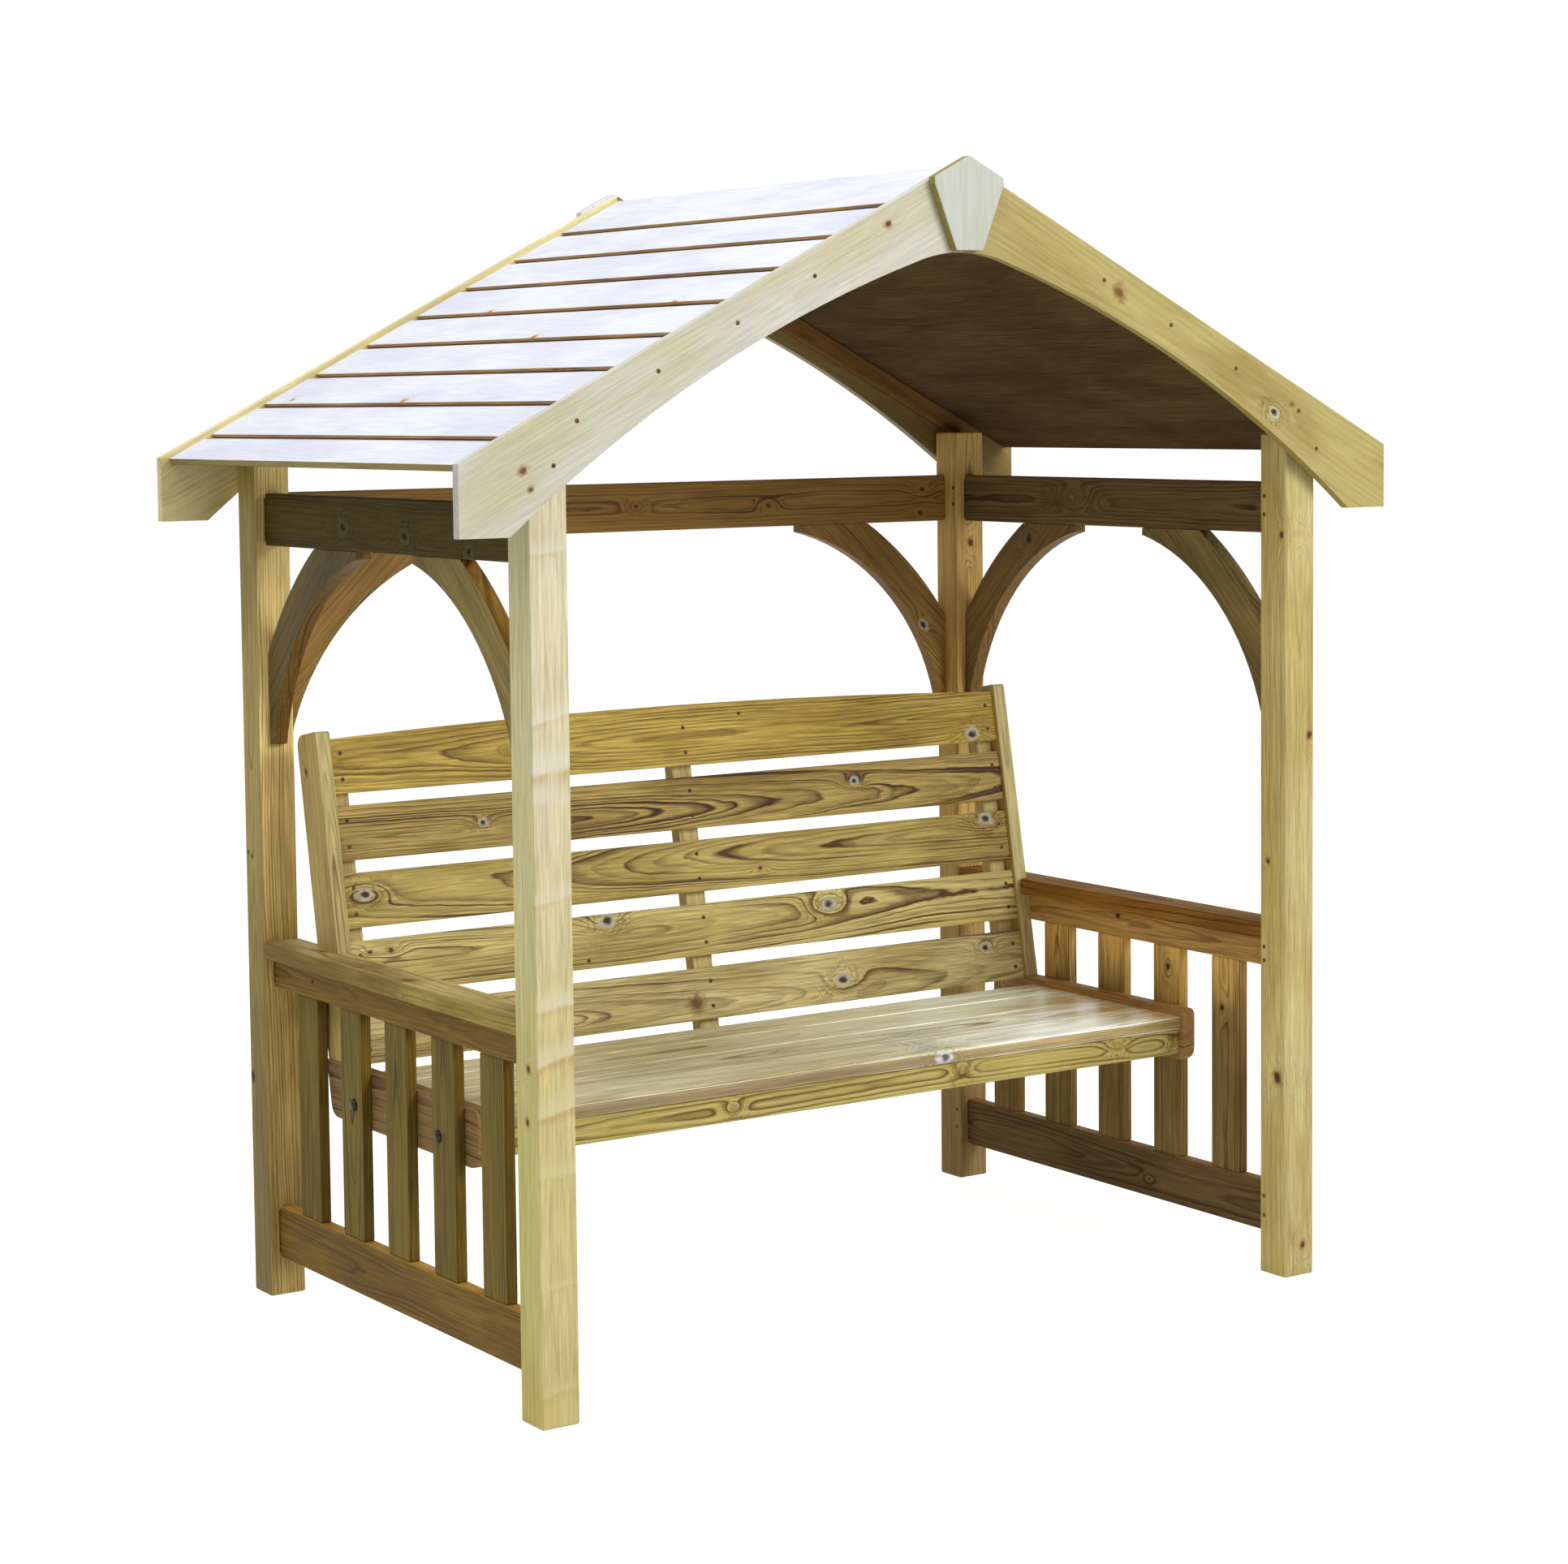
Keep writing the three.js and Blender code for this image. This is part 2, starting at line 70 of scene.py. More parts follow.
camera_data = bpy.data.cameras.new("camera")
camera_data.sensor_width = SENSOR
camera_data.lens = FOCAL_PIXELS * SENSOR / IMAGE_WIDTH
camera_data.shift_y = (HORIZON_ROW - CENTRE_ROW) / IMAGE_WIDTH
camera = bpy.data.objects.new("camera", camera_data)
bpy.context.scene.collection.objects.link(camera)
turn = (Matrix.Rotation(-YAW, 4, "Z") @ Matrix.Rotation(math.pi / 2 + PITCH, 4, "X")
        @ Matrix.Rotation(ROLL, 4, "Z"))
camera.matrix_world = Matrix.Translation(CAMERA_PLACE) @ turn
bpy.context.scene.camera = camera
print("lens in mm:", round(camera_data.lens, 1))

# %% [markdown]
# ## The studio
#
# One wide soft lamp in front and above gives the bright faces of the posts, a second over the roof gives
# its pale boards, and an even sky fills the rest. The floor and the sky are white where the camera sees
# them or a shiny face mirrors them. Everywhere else they only give their soft share of the light.

# %% Light the studio
WHITE = (1, 1, 1, 1)
SKY_COLOUR, SKY_STRENGTH = (1.0, 0.99, 0.97, 1), 0.33
FLOOR_SIZE, FLOOR_COLOUR, FLOOR_GLOW = 60, (0.7, 0.7, 0.69, 1), 0.8


def area_lamp(name, place, target, size, watts, colour):
    data = bpy.data.lights.new(name, "AREA")
    data.shape = "RECTANGLE"
    data.size, data.size_y = size
    data.energy = watts
    data.color = colour
    lamp = bpy.data.objects.new(name, data)
    lamp.location = place
    lamp.rotation_euler = (Vector(target) - Vector(place)).to_track_quat("-Z", "Y").to_euler()
    bpy.context.scene.collection.objects.link(lamp)


def seen_or_mirrored(tree):
    rays = tree.nodes.new("ShaderNodeLightPath")
    either = tree.nodes.new("ShaderNodeMath")
    either.operation = "MAXIMUM"
    tree.links.new(rays.outputs["Is Camera Ray"], either.inputs[0])
    tree.links.new(rays.outputs["Is Glossy Ray"], either.inputs[1])
    return either.outputs[0]


def mixed(tree, factor, first, second):
    mix = tree.nodes.new("ShaderNodeMixShader")
    for socket, value in zip(mix.inputs, (factor, first, second)):
        tree.links.new(value, socket)
    return mix.outputs[0]


area_lamp("front_lamp", (2.2, -6.5, 4.2), (0, 0, 0.9), (4.0, 3.0), 305, (1.0, 0.985, 0.95))
area_lamp("roof_lamp", (-2.0, -0.5, 6.5), (0, 0, 1.2), (5.0, 5.0), 250, (0.94, 0.97, 1.0))

world = bpy.data.worlds.new("studio")
bpy.context.scene.world = world
world.use_nodes = True
sky = world.node_tree
sky.nodes.clear()
lit = sky.nodes.new("ShaderNodeBackground")
lit.inputs["Color"].default_value = SKY_COLOUR
lit.inputs["Strength"].default_value = SKY_STRENGTH
seen = sky.nodes.new("ShaderNodeBackground")
seen.inputs["Color"].default_value = WHITE
seen.inputs["Strength"].default_value = 1.0
out = sky.nodes.new("ShaderNodeOutputWorld")
sky.links.new(mixed(sky, seen_or_mirrored(sky), lit.outputs[0], seen.outputs[0]), out.inputs[0])
bpy.context.scene.view_settings.view_transform = "Standard"

bpy.ops.object.select_all(action="DESELECT")
bpy.ops.mesh.primitive_plane_add(size=FLOOR_SIZE, location=(0, 0, 0))
floor = bpy.context.object
floor.name = "floor"
floor_finish = bpy.data.materials.new("floor")
floor_finish.use_nodes = True
ground = floor_finish.node_tree
ground.nodes.clear()
matt = ground.nodes.new("ShaderNodeBsdfDiffuse")
matt.inputs["Color"].default_value = FLOOR_COLOUR
glow = ground.nodes.new("ShaderNodeEmission")
glow.inputs["Color"].default_value = WHITE
glow.inputs["Strength"].default_value = FLOOR_GLOW
both = ground.nodes.new("ShaderNodeAddShader")
ground.links.new(matt.outputs[0], both.inputs[0])
ground.links.new(glow.outputs[0], both.inputs[1])
top = ground.nodes.new("ShaderNodeOutputMaterial")
ground.links.new(mixed(ground, seen_or_mirrored(ground), matt.outputs[0], both.outputs[0]), top.inputs[0])
floor.data.materials.append(floor_finish)
print("lamps:", len(bpy.data.lights))

# %% [markdown]
# ## How the wood is drawn
#
# Every piece is softwood that was soaked in a green preservative. A tree grows one ring a year: a wide pale
# band, then a thin dark one that ends sharply. A board is a slice through those rings, so its lines run
# straight near the edges and close into arches where the slice just touches a ring. The shader does the
# same: it measures how far a point lies from the wandering heart of the tree, cuts that distance into
# rings, and colours each ring. A picture of wood could be wrapped round the pieces instead, but its lines
# would not agree at the corners.

# %% Small helpers for the shader nodes
def feed(tree, socket, value):
    if isinstance(value, bpy.types.NodeSocket):
        tree.links.new(value, socket)
    else:
        socket.default_value = value


def sums(tree, operation, *values):
    made = tree.nodes.new("ShaderNodeMath")
    made.operation = operation
    for socket, value in zip(made.inputs, values):
        feed(tree, socket, value)
    return made.outputs[0]


def arrows(tree, operation, first, second, output="Vector"):
    made = tree.nodes.new("ShaderNodeVectorMath")
    made.operation = operation
    feed(tree, made.inputs[0], first)
    feed(tree, made.inputs[1], second)
    return made.outputs[output]


def cloud(tree, vector, stretch, seed, detail=2.0, roughness=0.5):
    made = tree.nodes.new("ShaderNodeTexNoise")
    made.noise_dimensions = "4D"
    feed(tree, made.inputs["Vector"], arrows(tree, "MULTIPLY", vector, stretch))
    feed(tree, made.inputs["W"], seed)
    made.inputs["Scale"].default_value = 1.0
    made.inputs["Detail"].default_value = detail
    made.inputs["Roughness"].default_value = roughness
    return made


def blended(tree, factor, first, second, kind="MIX"):
    made = tree.nodes.new("ShaderNodeMix")
    made.data_type = "RGBA"
    made.blend_type = kind
    feed(tree, made.inputs[0], factor)
    feed(tree, made.inputs[6], first)
    feed(tree, made.inputs[7], second)
    return made.outputs[2]


def ranged(tree, value, low, high, to_low=0.0, to_high=1.0):
    made = tree.nodes.new("ShaderNodeMapRange")
    made.interpolation_type = "SMOOTHSTEP"
    for socket, item in zip(made.inputs, (value, low, high, to_low, to_high)):
        feed(tree, socket, item)
    return made.outputs[0]


def group(name, takes, gives):
    tree = bpy.data.node_groups.new(name, "ShaderNodeTree")
    kinds = {"vector": "NodeSocketVector", "number": "NodeSocketFloat", "colour": "NodeSocketColor"}
    for label, kind in takes:
        tree.interface.new_socket(label, in_out="INPUT", socket_type=kinds[kind])
    for label, kind in gives:
        tree.interface.new_socket(label, in_out="OUTPUT", socket_type=kinds[kind])
    return tree, tree.nodes.new("NodeGroupInput").outputs, tree.nodes.new("NodeGroupOutput").inputs


def use(tree, made, **values):
    node = tree.nodes.new("ShaderNodeGroup")
    node.node_tree = made
    for label, value in values.items():
        feed(tree, node.inputs[label], value)
    return node.outputs


print("helpers ready")

# %% [markdown]
# The rings come first. The heart of the tree wanders by a few centimetres along a board, which is what
# makes the arches, and the width and darkness of the rings change from year to year. Noise that is
# stretched along the grain does all of this: each triple below says how fast it changes along the grain,
# across it and into the board.

# %% The growth rings
DRIFT = (1.3, 2.0, 2.0)
RIPPLE, RIPPLE_DEPTH = (11.0, 45.0, 45.0), 0.006
FADE = (3.0, 16.0, 16.0)
FIBRE = (11.0, 330.0, 330.0)
PATCH = (3.2, 11.0, 11.0)
YEAR_STEP, YEAR_CHANGE = 0.35, 2.2
RING_START, RING_PROFILE = 0.55, ((0.08, 0.04), (0.42, 0.1), (0.7, 0.6), (0.9, 1.0))

rings, given, result = group(
    "growth rings",
    [("grain", "vector"), ("swell", "number"), ("seed", "number"), ("ring", "number"), ("heart", "number"),
     ("depth", "number"), ("climb", "number"), ("wander", "number")],
    [("late", "number"), ("fibre", "number"), ("patch", "number")])
parts = rings.nodes.new("ShaderNodeSeparateXYZ")
rings.links.new(given["grain"], parts.inputs[0])
drift = cloud(rings, given["grain"], DRIFT, given["seed"], 1.0)
sway = rings.nodes.new("ShaderNodeSeparateColor")
rings.links.new(drift.outputs["Color"], sway.inputs[0])
reach = sums(rings, "MULTIPLY", given["wander"], 2.0)
side = sums(rings, "MULTIPLY_ADD", sums(rings, "SUBTRACT", sway.outputs[0], 0.5), reach, parts.outputs["Y"])
side = sums(rings, "ADD", side, given["heart"])
below = sums(rings, "MULTIPLY", sums(rings, "SUBTRACT", sway.outputs[1], 0.5),
             sums(rings, "MULTIPLY", reach, 2.0))
below = sums(rings, "ADD", below,
             sums(rings, "MULTIPLY_ADD", given["climb"], parts.outputs["X"], given["depth"]))
below = sums(rings, "ADD", below, parts.outputs["Z"])
away = sums(rings, "ADD", sums(rings, "POWER", side, 2.0), sums(rings, "POWER", below, 2.0))
away = sums(rings, "SQRT", away)
ripple = cloud(rings, given["grain"], RIPPLE, given["seed"], 3.0)
away = sums(rings, "ADD", away, given["swell"])
away = sums(rings, "MULTIPLY_ADD", sums(rings, "SUBTRACT", ripple.outputs["Fac"], 0.5), RIPPLE_DEPTH, away)
years = sums(rings, "DIVIDE", away, given["ring"])
spread = rings.nodes.new("ShaderNodeTexNoise")
spread.noise_dimensions = "1D"
feed(rings, spread.inputs["W"], sums(rings, "MULTIPLY_ADD", years, YEAR_STEP, given["seed"]))
spread.inputs["Scale"].default_value = 1.0
years = sums(rings, "MULTIPLY_ADD", spread.outputs["Fac"], YEAR_CHANGE, years)
year = sums(rings, "FLOOR", years)
within = sums(rings, "FRACT", years)
profile = rings.nodes.new("ShaderNodeValToRGB")
stops = profile.color_ramp
stops.interpolation = "EASE"
for place, level in RING_PROFILE:
    stop = stops.elements.new(place)
    stop.color = (level, level, level, 1)
stops.elements[0].color = stops.elements[-1].color = (RING_START, RING_START, RING_START, 1)
rings.links.new(within, profile.inputs[0])
luck = rings.nodes.new("ShaderNodeTexWhiteNoise")
luck.noise_dimensions = "1D"
feed(rings, luck.inputs["W"], sums(rings, "ADD", year, given["seed"]))
late = sums(rings, "MULTIPLY", profile.outputs[0],
            ranged(rings, luck.outputs["Value"], 0.0, 1.0, 0.35, 1.1))
fade = cloud(rings, given["grain"], FADE, sums(rings, "ADD", given["seed"], 7.0), 2.0)
late = sums(rings, "MULTIPLY", late, ranged(rings, fade.outputs["Fac"], 0.34, 0.6, 0.4, 1.05))
fibre = cloud(rings, given["grain"], FIBRE, given["seed"], 3.0, 0.65)
patch = cloud(rings, given["grain"], PATCH, sums(rings, "ADD", given["seed"], 3.0), 3.0, 0.55)
feed(rings, result["late"], late)
feed(rings, result["fibre"], fibre.outputs["Fac"])
feed(rings, result["patch"], patch.outputs["Fac"])
print("growth rings:", len(rings.nodes), "nodes")

# %% [markdown]
# A knot is a branch that the trunk grew round. The rings swell out round it, so the swelling is added to
# the distance before the rings are cut. Its own face is drawn afterwards: a dark, ragged middle, a torn
# halo of pale resin, and the thin dark rings that nest round it like an eye.

# %% The knots
TAKES = [("grain", "vector"), ("along", "number"), ("across", "number"), ("size", "number"),
         ("turned", "number")]
SWELL_LENGTH, SWELL_FALL, SWELL_PUSH = 2.4, -0.42, 1.9
FACE_LENGTH, FACE_RAGGED, EYE_RINGS = 1.3, 1.9, 8.5
ROUGH, TORN = (34.0, 50.0, 50.0), (90.0, 140.0, 140.0)


def knot_distances(tree, given, longer):
    parts = tree.nodes.new("ShaderNodeSeparateXYZ")
    tree.links.new(given["grain"], parts.inputs[0])
    turned = tree.nodes.new("ShaderNodeMix")
    feed(tree, turned.inputs[0], given["turned"])
    feed(tree, turned.inputs[2], parts.outputs["Y"])
    feed(tree, turned.inputs[3], parts.outputs["Z"])
    along = sums(tree, "DIVIDE", sums(tree, "SUBTRACT", parts.outputs["X"], given["along"]), given["size"])
    across = sums(tree, "DIVIDE", sums(tree, "SUBTRACT", turned.outputs[0], given["across"]), given["size"])
    along = sums(tree, "DIVIDE", along, longer)
    return sums(tree, "ADD", sums(tree, "POWER", along, 2.0), sums(tree, "POWER", across, 2.0))


swelling, given, result = group("knot swelling", [("before", "number")] + TAKES, [("swell", "number")])
hump = sums(swelling, "MULTIPLY", knot_distances(swelling, given, SWELL_LENGTH), SWELL_FALL)
push = sums(swelling, "MULTIPLY", sums(swelling, "EXPONENT", hump),
            sums(swelling, "MULTIPLY", given["size"], SWELL_PUSH))
feed(swelling, result["swell"], sums(swelling, "ADD", given["before"], push))

knot_face, given, result = group(
    "knot face",
    [("before", "colour")] + TAKES + [("core", "colour"), ("halo", "colour"), ("rim", "colour"),
                                      ("glow", "number"), ("eyes", "number")],
    [("colour", "colour")])
gap = sums(knot_face, "SQRT", knot_distances(knot_face, given, FACE_LENGTH))
rough = cloud(knot_face, given["grain"], ROUGH, given["along"], 3.0, 0.6)
gap = sums(knot_face, "MULTIPLY", gap,
           sums(knot_face, "MULTIPLY_ADD", rough.outputs["Fac"], FACE_RAGGED, 0.05))
torn = cloud(knot_face, given["grain"], TORN, given["across"], 2.0).outputs["Fac"]
wide = ranged(knot_face, gap, 4.4, 1.6)
eye = sums(knot_face, "SINE", sums(knot_face, "MULTIPLY", gap, EYE_RINGS))
eye = sums(knot_face, "MULTIPLY", ranged(knot_face, eye, 0.1, 0.95),
           sums(knot_face, "MULTIPLY", wide, given["eyes"]))
eye = sums(knot_face, "MULTIPLY", eye, ranged(knot_face, torn, 0.3, 0.6, 0.3, 1.0))
inner = blended(knot_face, eye, given["before"], given["rim"])
halo = sums(knot_face, "MULTIPLY", ranged(knot_face, gap, 1.4, 0.8),
            ranged(knot_face, torn, 0.35, 0.55, 0.35, 1.0))
inner = blended(knot_face, sums(knot_face, "MULTIPLY", halo, given["glow"]), inner, given["halo"])
inner = blended(knot_face, ranged(knot_face, gap, 0.85, 0.5, 0.0, 0.6), inner, given["rim"])
core = sums(knot_face, "MULTIPLY_ADD", sums(knot_face, "SUBTRACT", torn, 0.5), 0.8, gap)
inner = blended(knot_face, ranged(knot_face, core, 0.62, 0.28, 0.0, 0.95), inner, given["core"])
feed(knot_face, result["colour"], inner)
print("knots:", len(knot_face.nodes), "nodes in a knot's face")

# %% [markdown]
# On the front left post, branches just under the surface make pale bars across the face, and most have an
# orange lower edge. A bar is a height, a slope, a width, a strength and the strength of its edge.

# %% The bars across a post
WAVE, WAVE_DEPTH = (6.0, 17.0, 17.0), 0.022
STREAKS, ACROSS_EDGE = (4.0, 300.0, 300.0), (3.0, 40.0, 40.0)
FACE_START, FACE_FULL = 0.028, 0.033

bar, given, result = group(
    "bar across",
    [("before", "colour"), ("grain", "vector"), ("along", "number"), ("rise", "number"),
     ("width", "number"), ("strength", "number"), ("orange", "number"), ("pale", "colour"),
     ("edge", "colour")],
    [("colour", "colour")])
parts = bar.nodes.new("ShaderNodeSeparateXYZ")
bar.links.new(given["grain"], parts.inputs[0])
wave = cloud(bar, given["grain"], WAVE, given["along"], 2.0)
height = sums(bar, "SUBTRACT", parts.outputs["X"], given["along"])
height = sums(bar, "SUBTRACT", height, sums(bar, "MULTIPLY", parts.outputs["Y"], given["rise"]))
height = sums(bar, "MULTIPLY_ADD", sums(bar, "SUBTRACT", wave.outputs["Fac"], 0.5), WAVE_DEPTH, height)
height = sums(bar, "DIVIDE", height, given["width"])
streaks = cloud(bar, given["grain"], STREAKS, 2.0, 2.0)
amount = sums(bar, "MULTIPLY", given["strength"], ranged(bar, streaks.outputs["Fac"], 0.3, 0.7, 0.6, 1.1))
amount = sums(bar, "MULTIPLY", amount, ranged(bar, parts.outputs["Z"], FACE_START, FACE_FULL))
pale = sums(bar, "MULTIPLY", ranged(bar, height, -0.15, 0.35), ranged(bar, height, 2.0, 0.5))
colour = blended(bar, sums(bar, "MULTIPLY", pale, amount), given["before"], given["pale"])
edge = sums(bar, "MULTIPLY", ranged(bar, height, -0.75, -0.1), ranged(bar, height, 0.25, -0.05))
across = cloud(bar, given["grain"], ACROSS_EDGE, sums(bar, "ADD", given["along"], 5.0), 1.0)
edge = sums(bar, "MULTIPLY", edge, ranged(bar, across.outputs["Fac"], 0.35, 0.6, 0.2, 1.0))
edge = sums(bar, "MULTIPLY", sums(bar, "MULTIPLY", edge, amount), given["orange"])
colour = blended(bar, edge, colour, given["edge"])
feed(bar, result["colour"], colour)
print("bars:", len(bar.nodes), "nodes")

# %% [markdown]
# Now one function makes the finish of a piece. It needs the direction of the grain, the face that shows,
# the colours of the wood, the rings, and the knots, which are given in millimetres where they are on the
# seat. The grain's own axes are x along it, y across the face and z out of the face. The faces next to the
# one that shows get a tint of painted light and shade. Each wash tints a piece towards one end: the
# direction, where it starts, where it is full, and its tint.

# %% A finish for one piece
BAR_PALE, BAR_EDGE = (233, 229, 212), (198, 150, 88)
RELIEF, RELIEF_DEPTH = 0.25, 0.0006
SMOOTHER = 0.12
# The colours of a knot: its core, its halo of resin and its rings, and how strong the halo and rings are.
KNOT_COLOURS = {
    "grey": ((50, 36, 24), (202, 204, 192), (92, 62, 28), 0.85, 0.6),
    "brown": ((86, 50, 30), (186, 136, 82), (118, 74, 38), 0.5, 0.12),
    "green": ((36, 28, 16), (140, 130, 80), (50, 40, 20), 0.4, 0.6),
    "scar": ((136, 120, 78), (116, 100, 62), (96, 80, 46), 0.7, 0.0),
    "ring": ((182, 158, 90), (194, 174, 104), (106, 76, 34), 0.4, 0.7),
    # A shaded hole's near-black middle is painted shade inside the hole.
    "shaded_hole": ((20, 14, 10), (110, 84, 48), (70, 50, 28), 0.2, 0.0),
    "stain": ((112, 82, 46), (142, 112, 64), (128, 98, 56), 0.7, 0.0),
    "orange": ((168, 104, 48), (222, 176, 112), (176, 120, 62), 0.85, 0.3),
}
FLAT_KNOTS = ("shaded_hole", "stain")


def paint(colour):
    shares = [part / 255 for part in colour]
    return (*(s / 12.92 if s <= 0.04045 else ((s + 0.055) / 1.055) ** 2.4 for s in shares), 1)


def pine(name, middle, along, out, tone, knots=(), bars=(), ring=5.0, heart=0.0, depth=-40.0, climb=0.0,
         wander=14.0, lines=0.9, stain=0.6, fibre=0.22, seed=0.0, roughness=0.6, gloss=0.18, sheen=1.5,
         wash=()):
    along = Vector(along).normalized()
    out = (Vector(out) - along * Vector(out).dot(along)).normalized()
    axes = Matrix((along, out.cross(along), out)).transposed()
    material = bpy.data.materials.new(name)
    material.use_nodes = True
    tree = material.node_tree
    shader = tree.nodes["Principled BSDF"]
    shader.inputs["Specular IOR Level"].default_value = gloss
    shader.inputs["IOR"].default_value = sheen
    place = tree.nodes.new("ShaderNodeTexCoord")
    lay = tree.nodes.new("ShaderNodeMapping")
    lay.vector_type = "TEXTURE"
    lay.inputs["Location"].default_value = Vector(middle)
    lay.inputs["Rotation"].default_value = axes.to_euler()
    tree.links.new(place.outputs["Object"], lay.inputs["Vector"])
    grain = lay.outputs[0]

    spots = []
    for spot, size, kind, *more in knots:
        inside = axes.transposed() @ (Vector(spot) / 1000 - Vector(middle))
        turned = 1.0 if "side" in more else 0.0
        spots.append((kind, dict(grain=grain, along=inside.x, across=inside.z if turned else inside.y,
                                 size=size / 1000, turned=turned)))
    swell = 0.0
    for kind, spot in spots:
        if kind not in FLAT_KNOTS:
            swell = use(tree, swelling, before=swell, **spot)["swell"]
    grown = use(tree, rings, grain=grain, swell=swell, seed=seed, ring=ring / 1000, heart=heart / 1000,
                depth=depth / 1000, climb=climb, wander=wander / 1000)

    light, dark, stained, side_light_tint = [paint(colour) for colour in tone]
    patches = sums(tree, "MULTIPLY", ranged(tree, grown["patch"], 0.38, 0.66), stain)
    colour = blended(tree, patches, light, stained)
    # Painted light and shade: faces that do not face out are multiplied by the fourth tone, which makes
    # them lighter where light falls on them and darker where it does not.
    normal = tree.nodes.new("ShaderNodeNewGeometry").outputs["Normal"]
    facing = sums(tree, "ABSOLUTE", arrows(tree, "DOT_PRODUCT", normal, out, "Value"))
    side_light_tint = blended(tree, 1.0, colour, side_light_tint, "MULTIPLY")
    colour = blended(tree, ranged(tree, facing, 0.8, 0.5), colour, side_light_tint)
    colour = blended(tree, sums(tree, "MULTIPLY", grown["late"], lines), colour, dark)
    streak = ranged(tree, grown["fibre"], 0.25, 0.75, 1.0 - fibre, 1.0 + fibre)
    colour = blended(tree, 1.0, colour, streak, "MULTIPLY")
    for kind, spot in spots:
        *colours, glow, eyes = KNOT_COLOURS[kind]
        core, halo, rim = [paint(part) for part in colours]
        colour = use(tree, knot_face, before=colour, core=core, halo=halo, rim=rim, glow=glow, eyes=eyes,
                     **spot)["colour"]
    for height, rise, width, strength, orange in bars:
        colour = use(tree, bar, before=colour, grain=grain, along=height / 1000 - middle[2], rise=rise,
                     width=width / 1000, strength=strength, orange=orange, pale=paint(BAR_PALE),
                     edge=paint(BAR_EDGE))["colour"]
    for axis, none, full, tint in wash:
        high = tree.nodes.new("ShaderNodeSeparateXYZ")
        tree.links.new(place.outputs["Object"], high.inputs[0])
        ragged = sums(tree, "SUBTRACT", grown["patch"], 0.5)
        amount = sums(tree, "MULTIPLY_ADD", ragged, 0.5, high.outputs[axis])
        amount = ranged(tree, amount, none / 1000, full / 1000)
        colour = blended(tree, amount, colour, blended(tree, 1.0, colour, paint(tint), "MULTIPLY"))
    feed(tree, shader.inputs["Base Color"], colour)
    feed(tree, shader.inputs["Roughness"],
         ranged(tree, grown["late"], 0.0, 1.0, roughness, roughness - SMOOTHER))

    relief = tree.nodes.new("ShaderNodeBump")
    relief.inputs["Strength"].default_value = RELIEF
    relief.inputs["Distance"].default_value = RELIEF_DEPTH
    feed(tree, relief.inputs["Height"], sums(tree, "MULTIPLY_ADD", grown["late"], 0.8, grown["fibre"]))
    tree.links.new(relief.outputs[0], shader.inputs["Normal"])
    return material


print("finish ready")
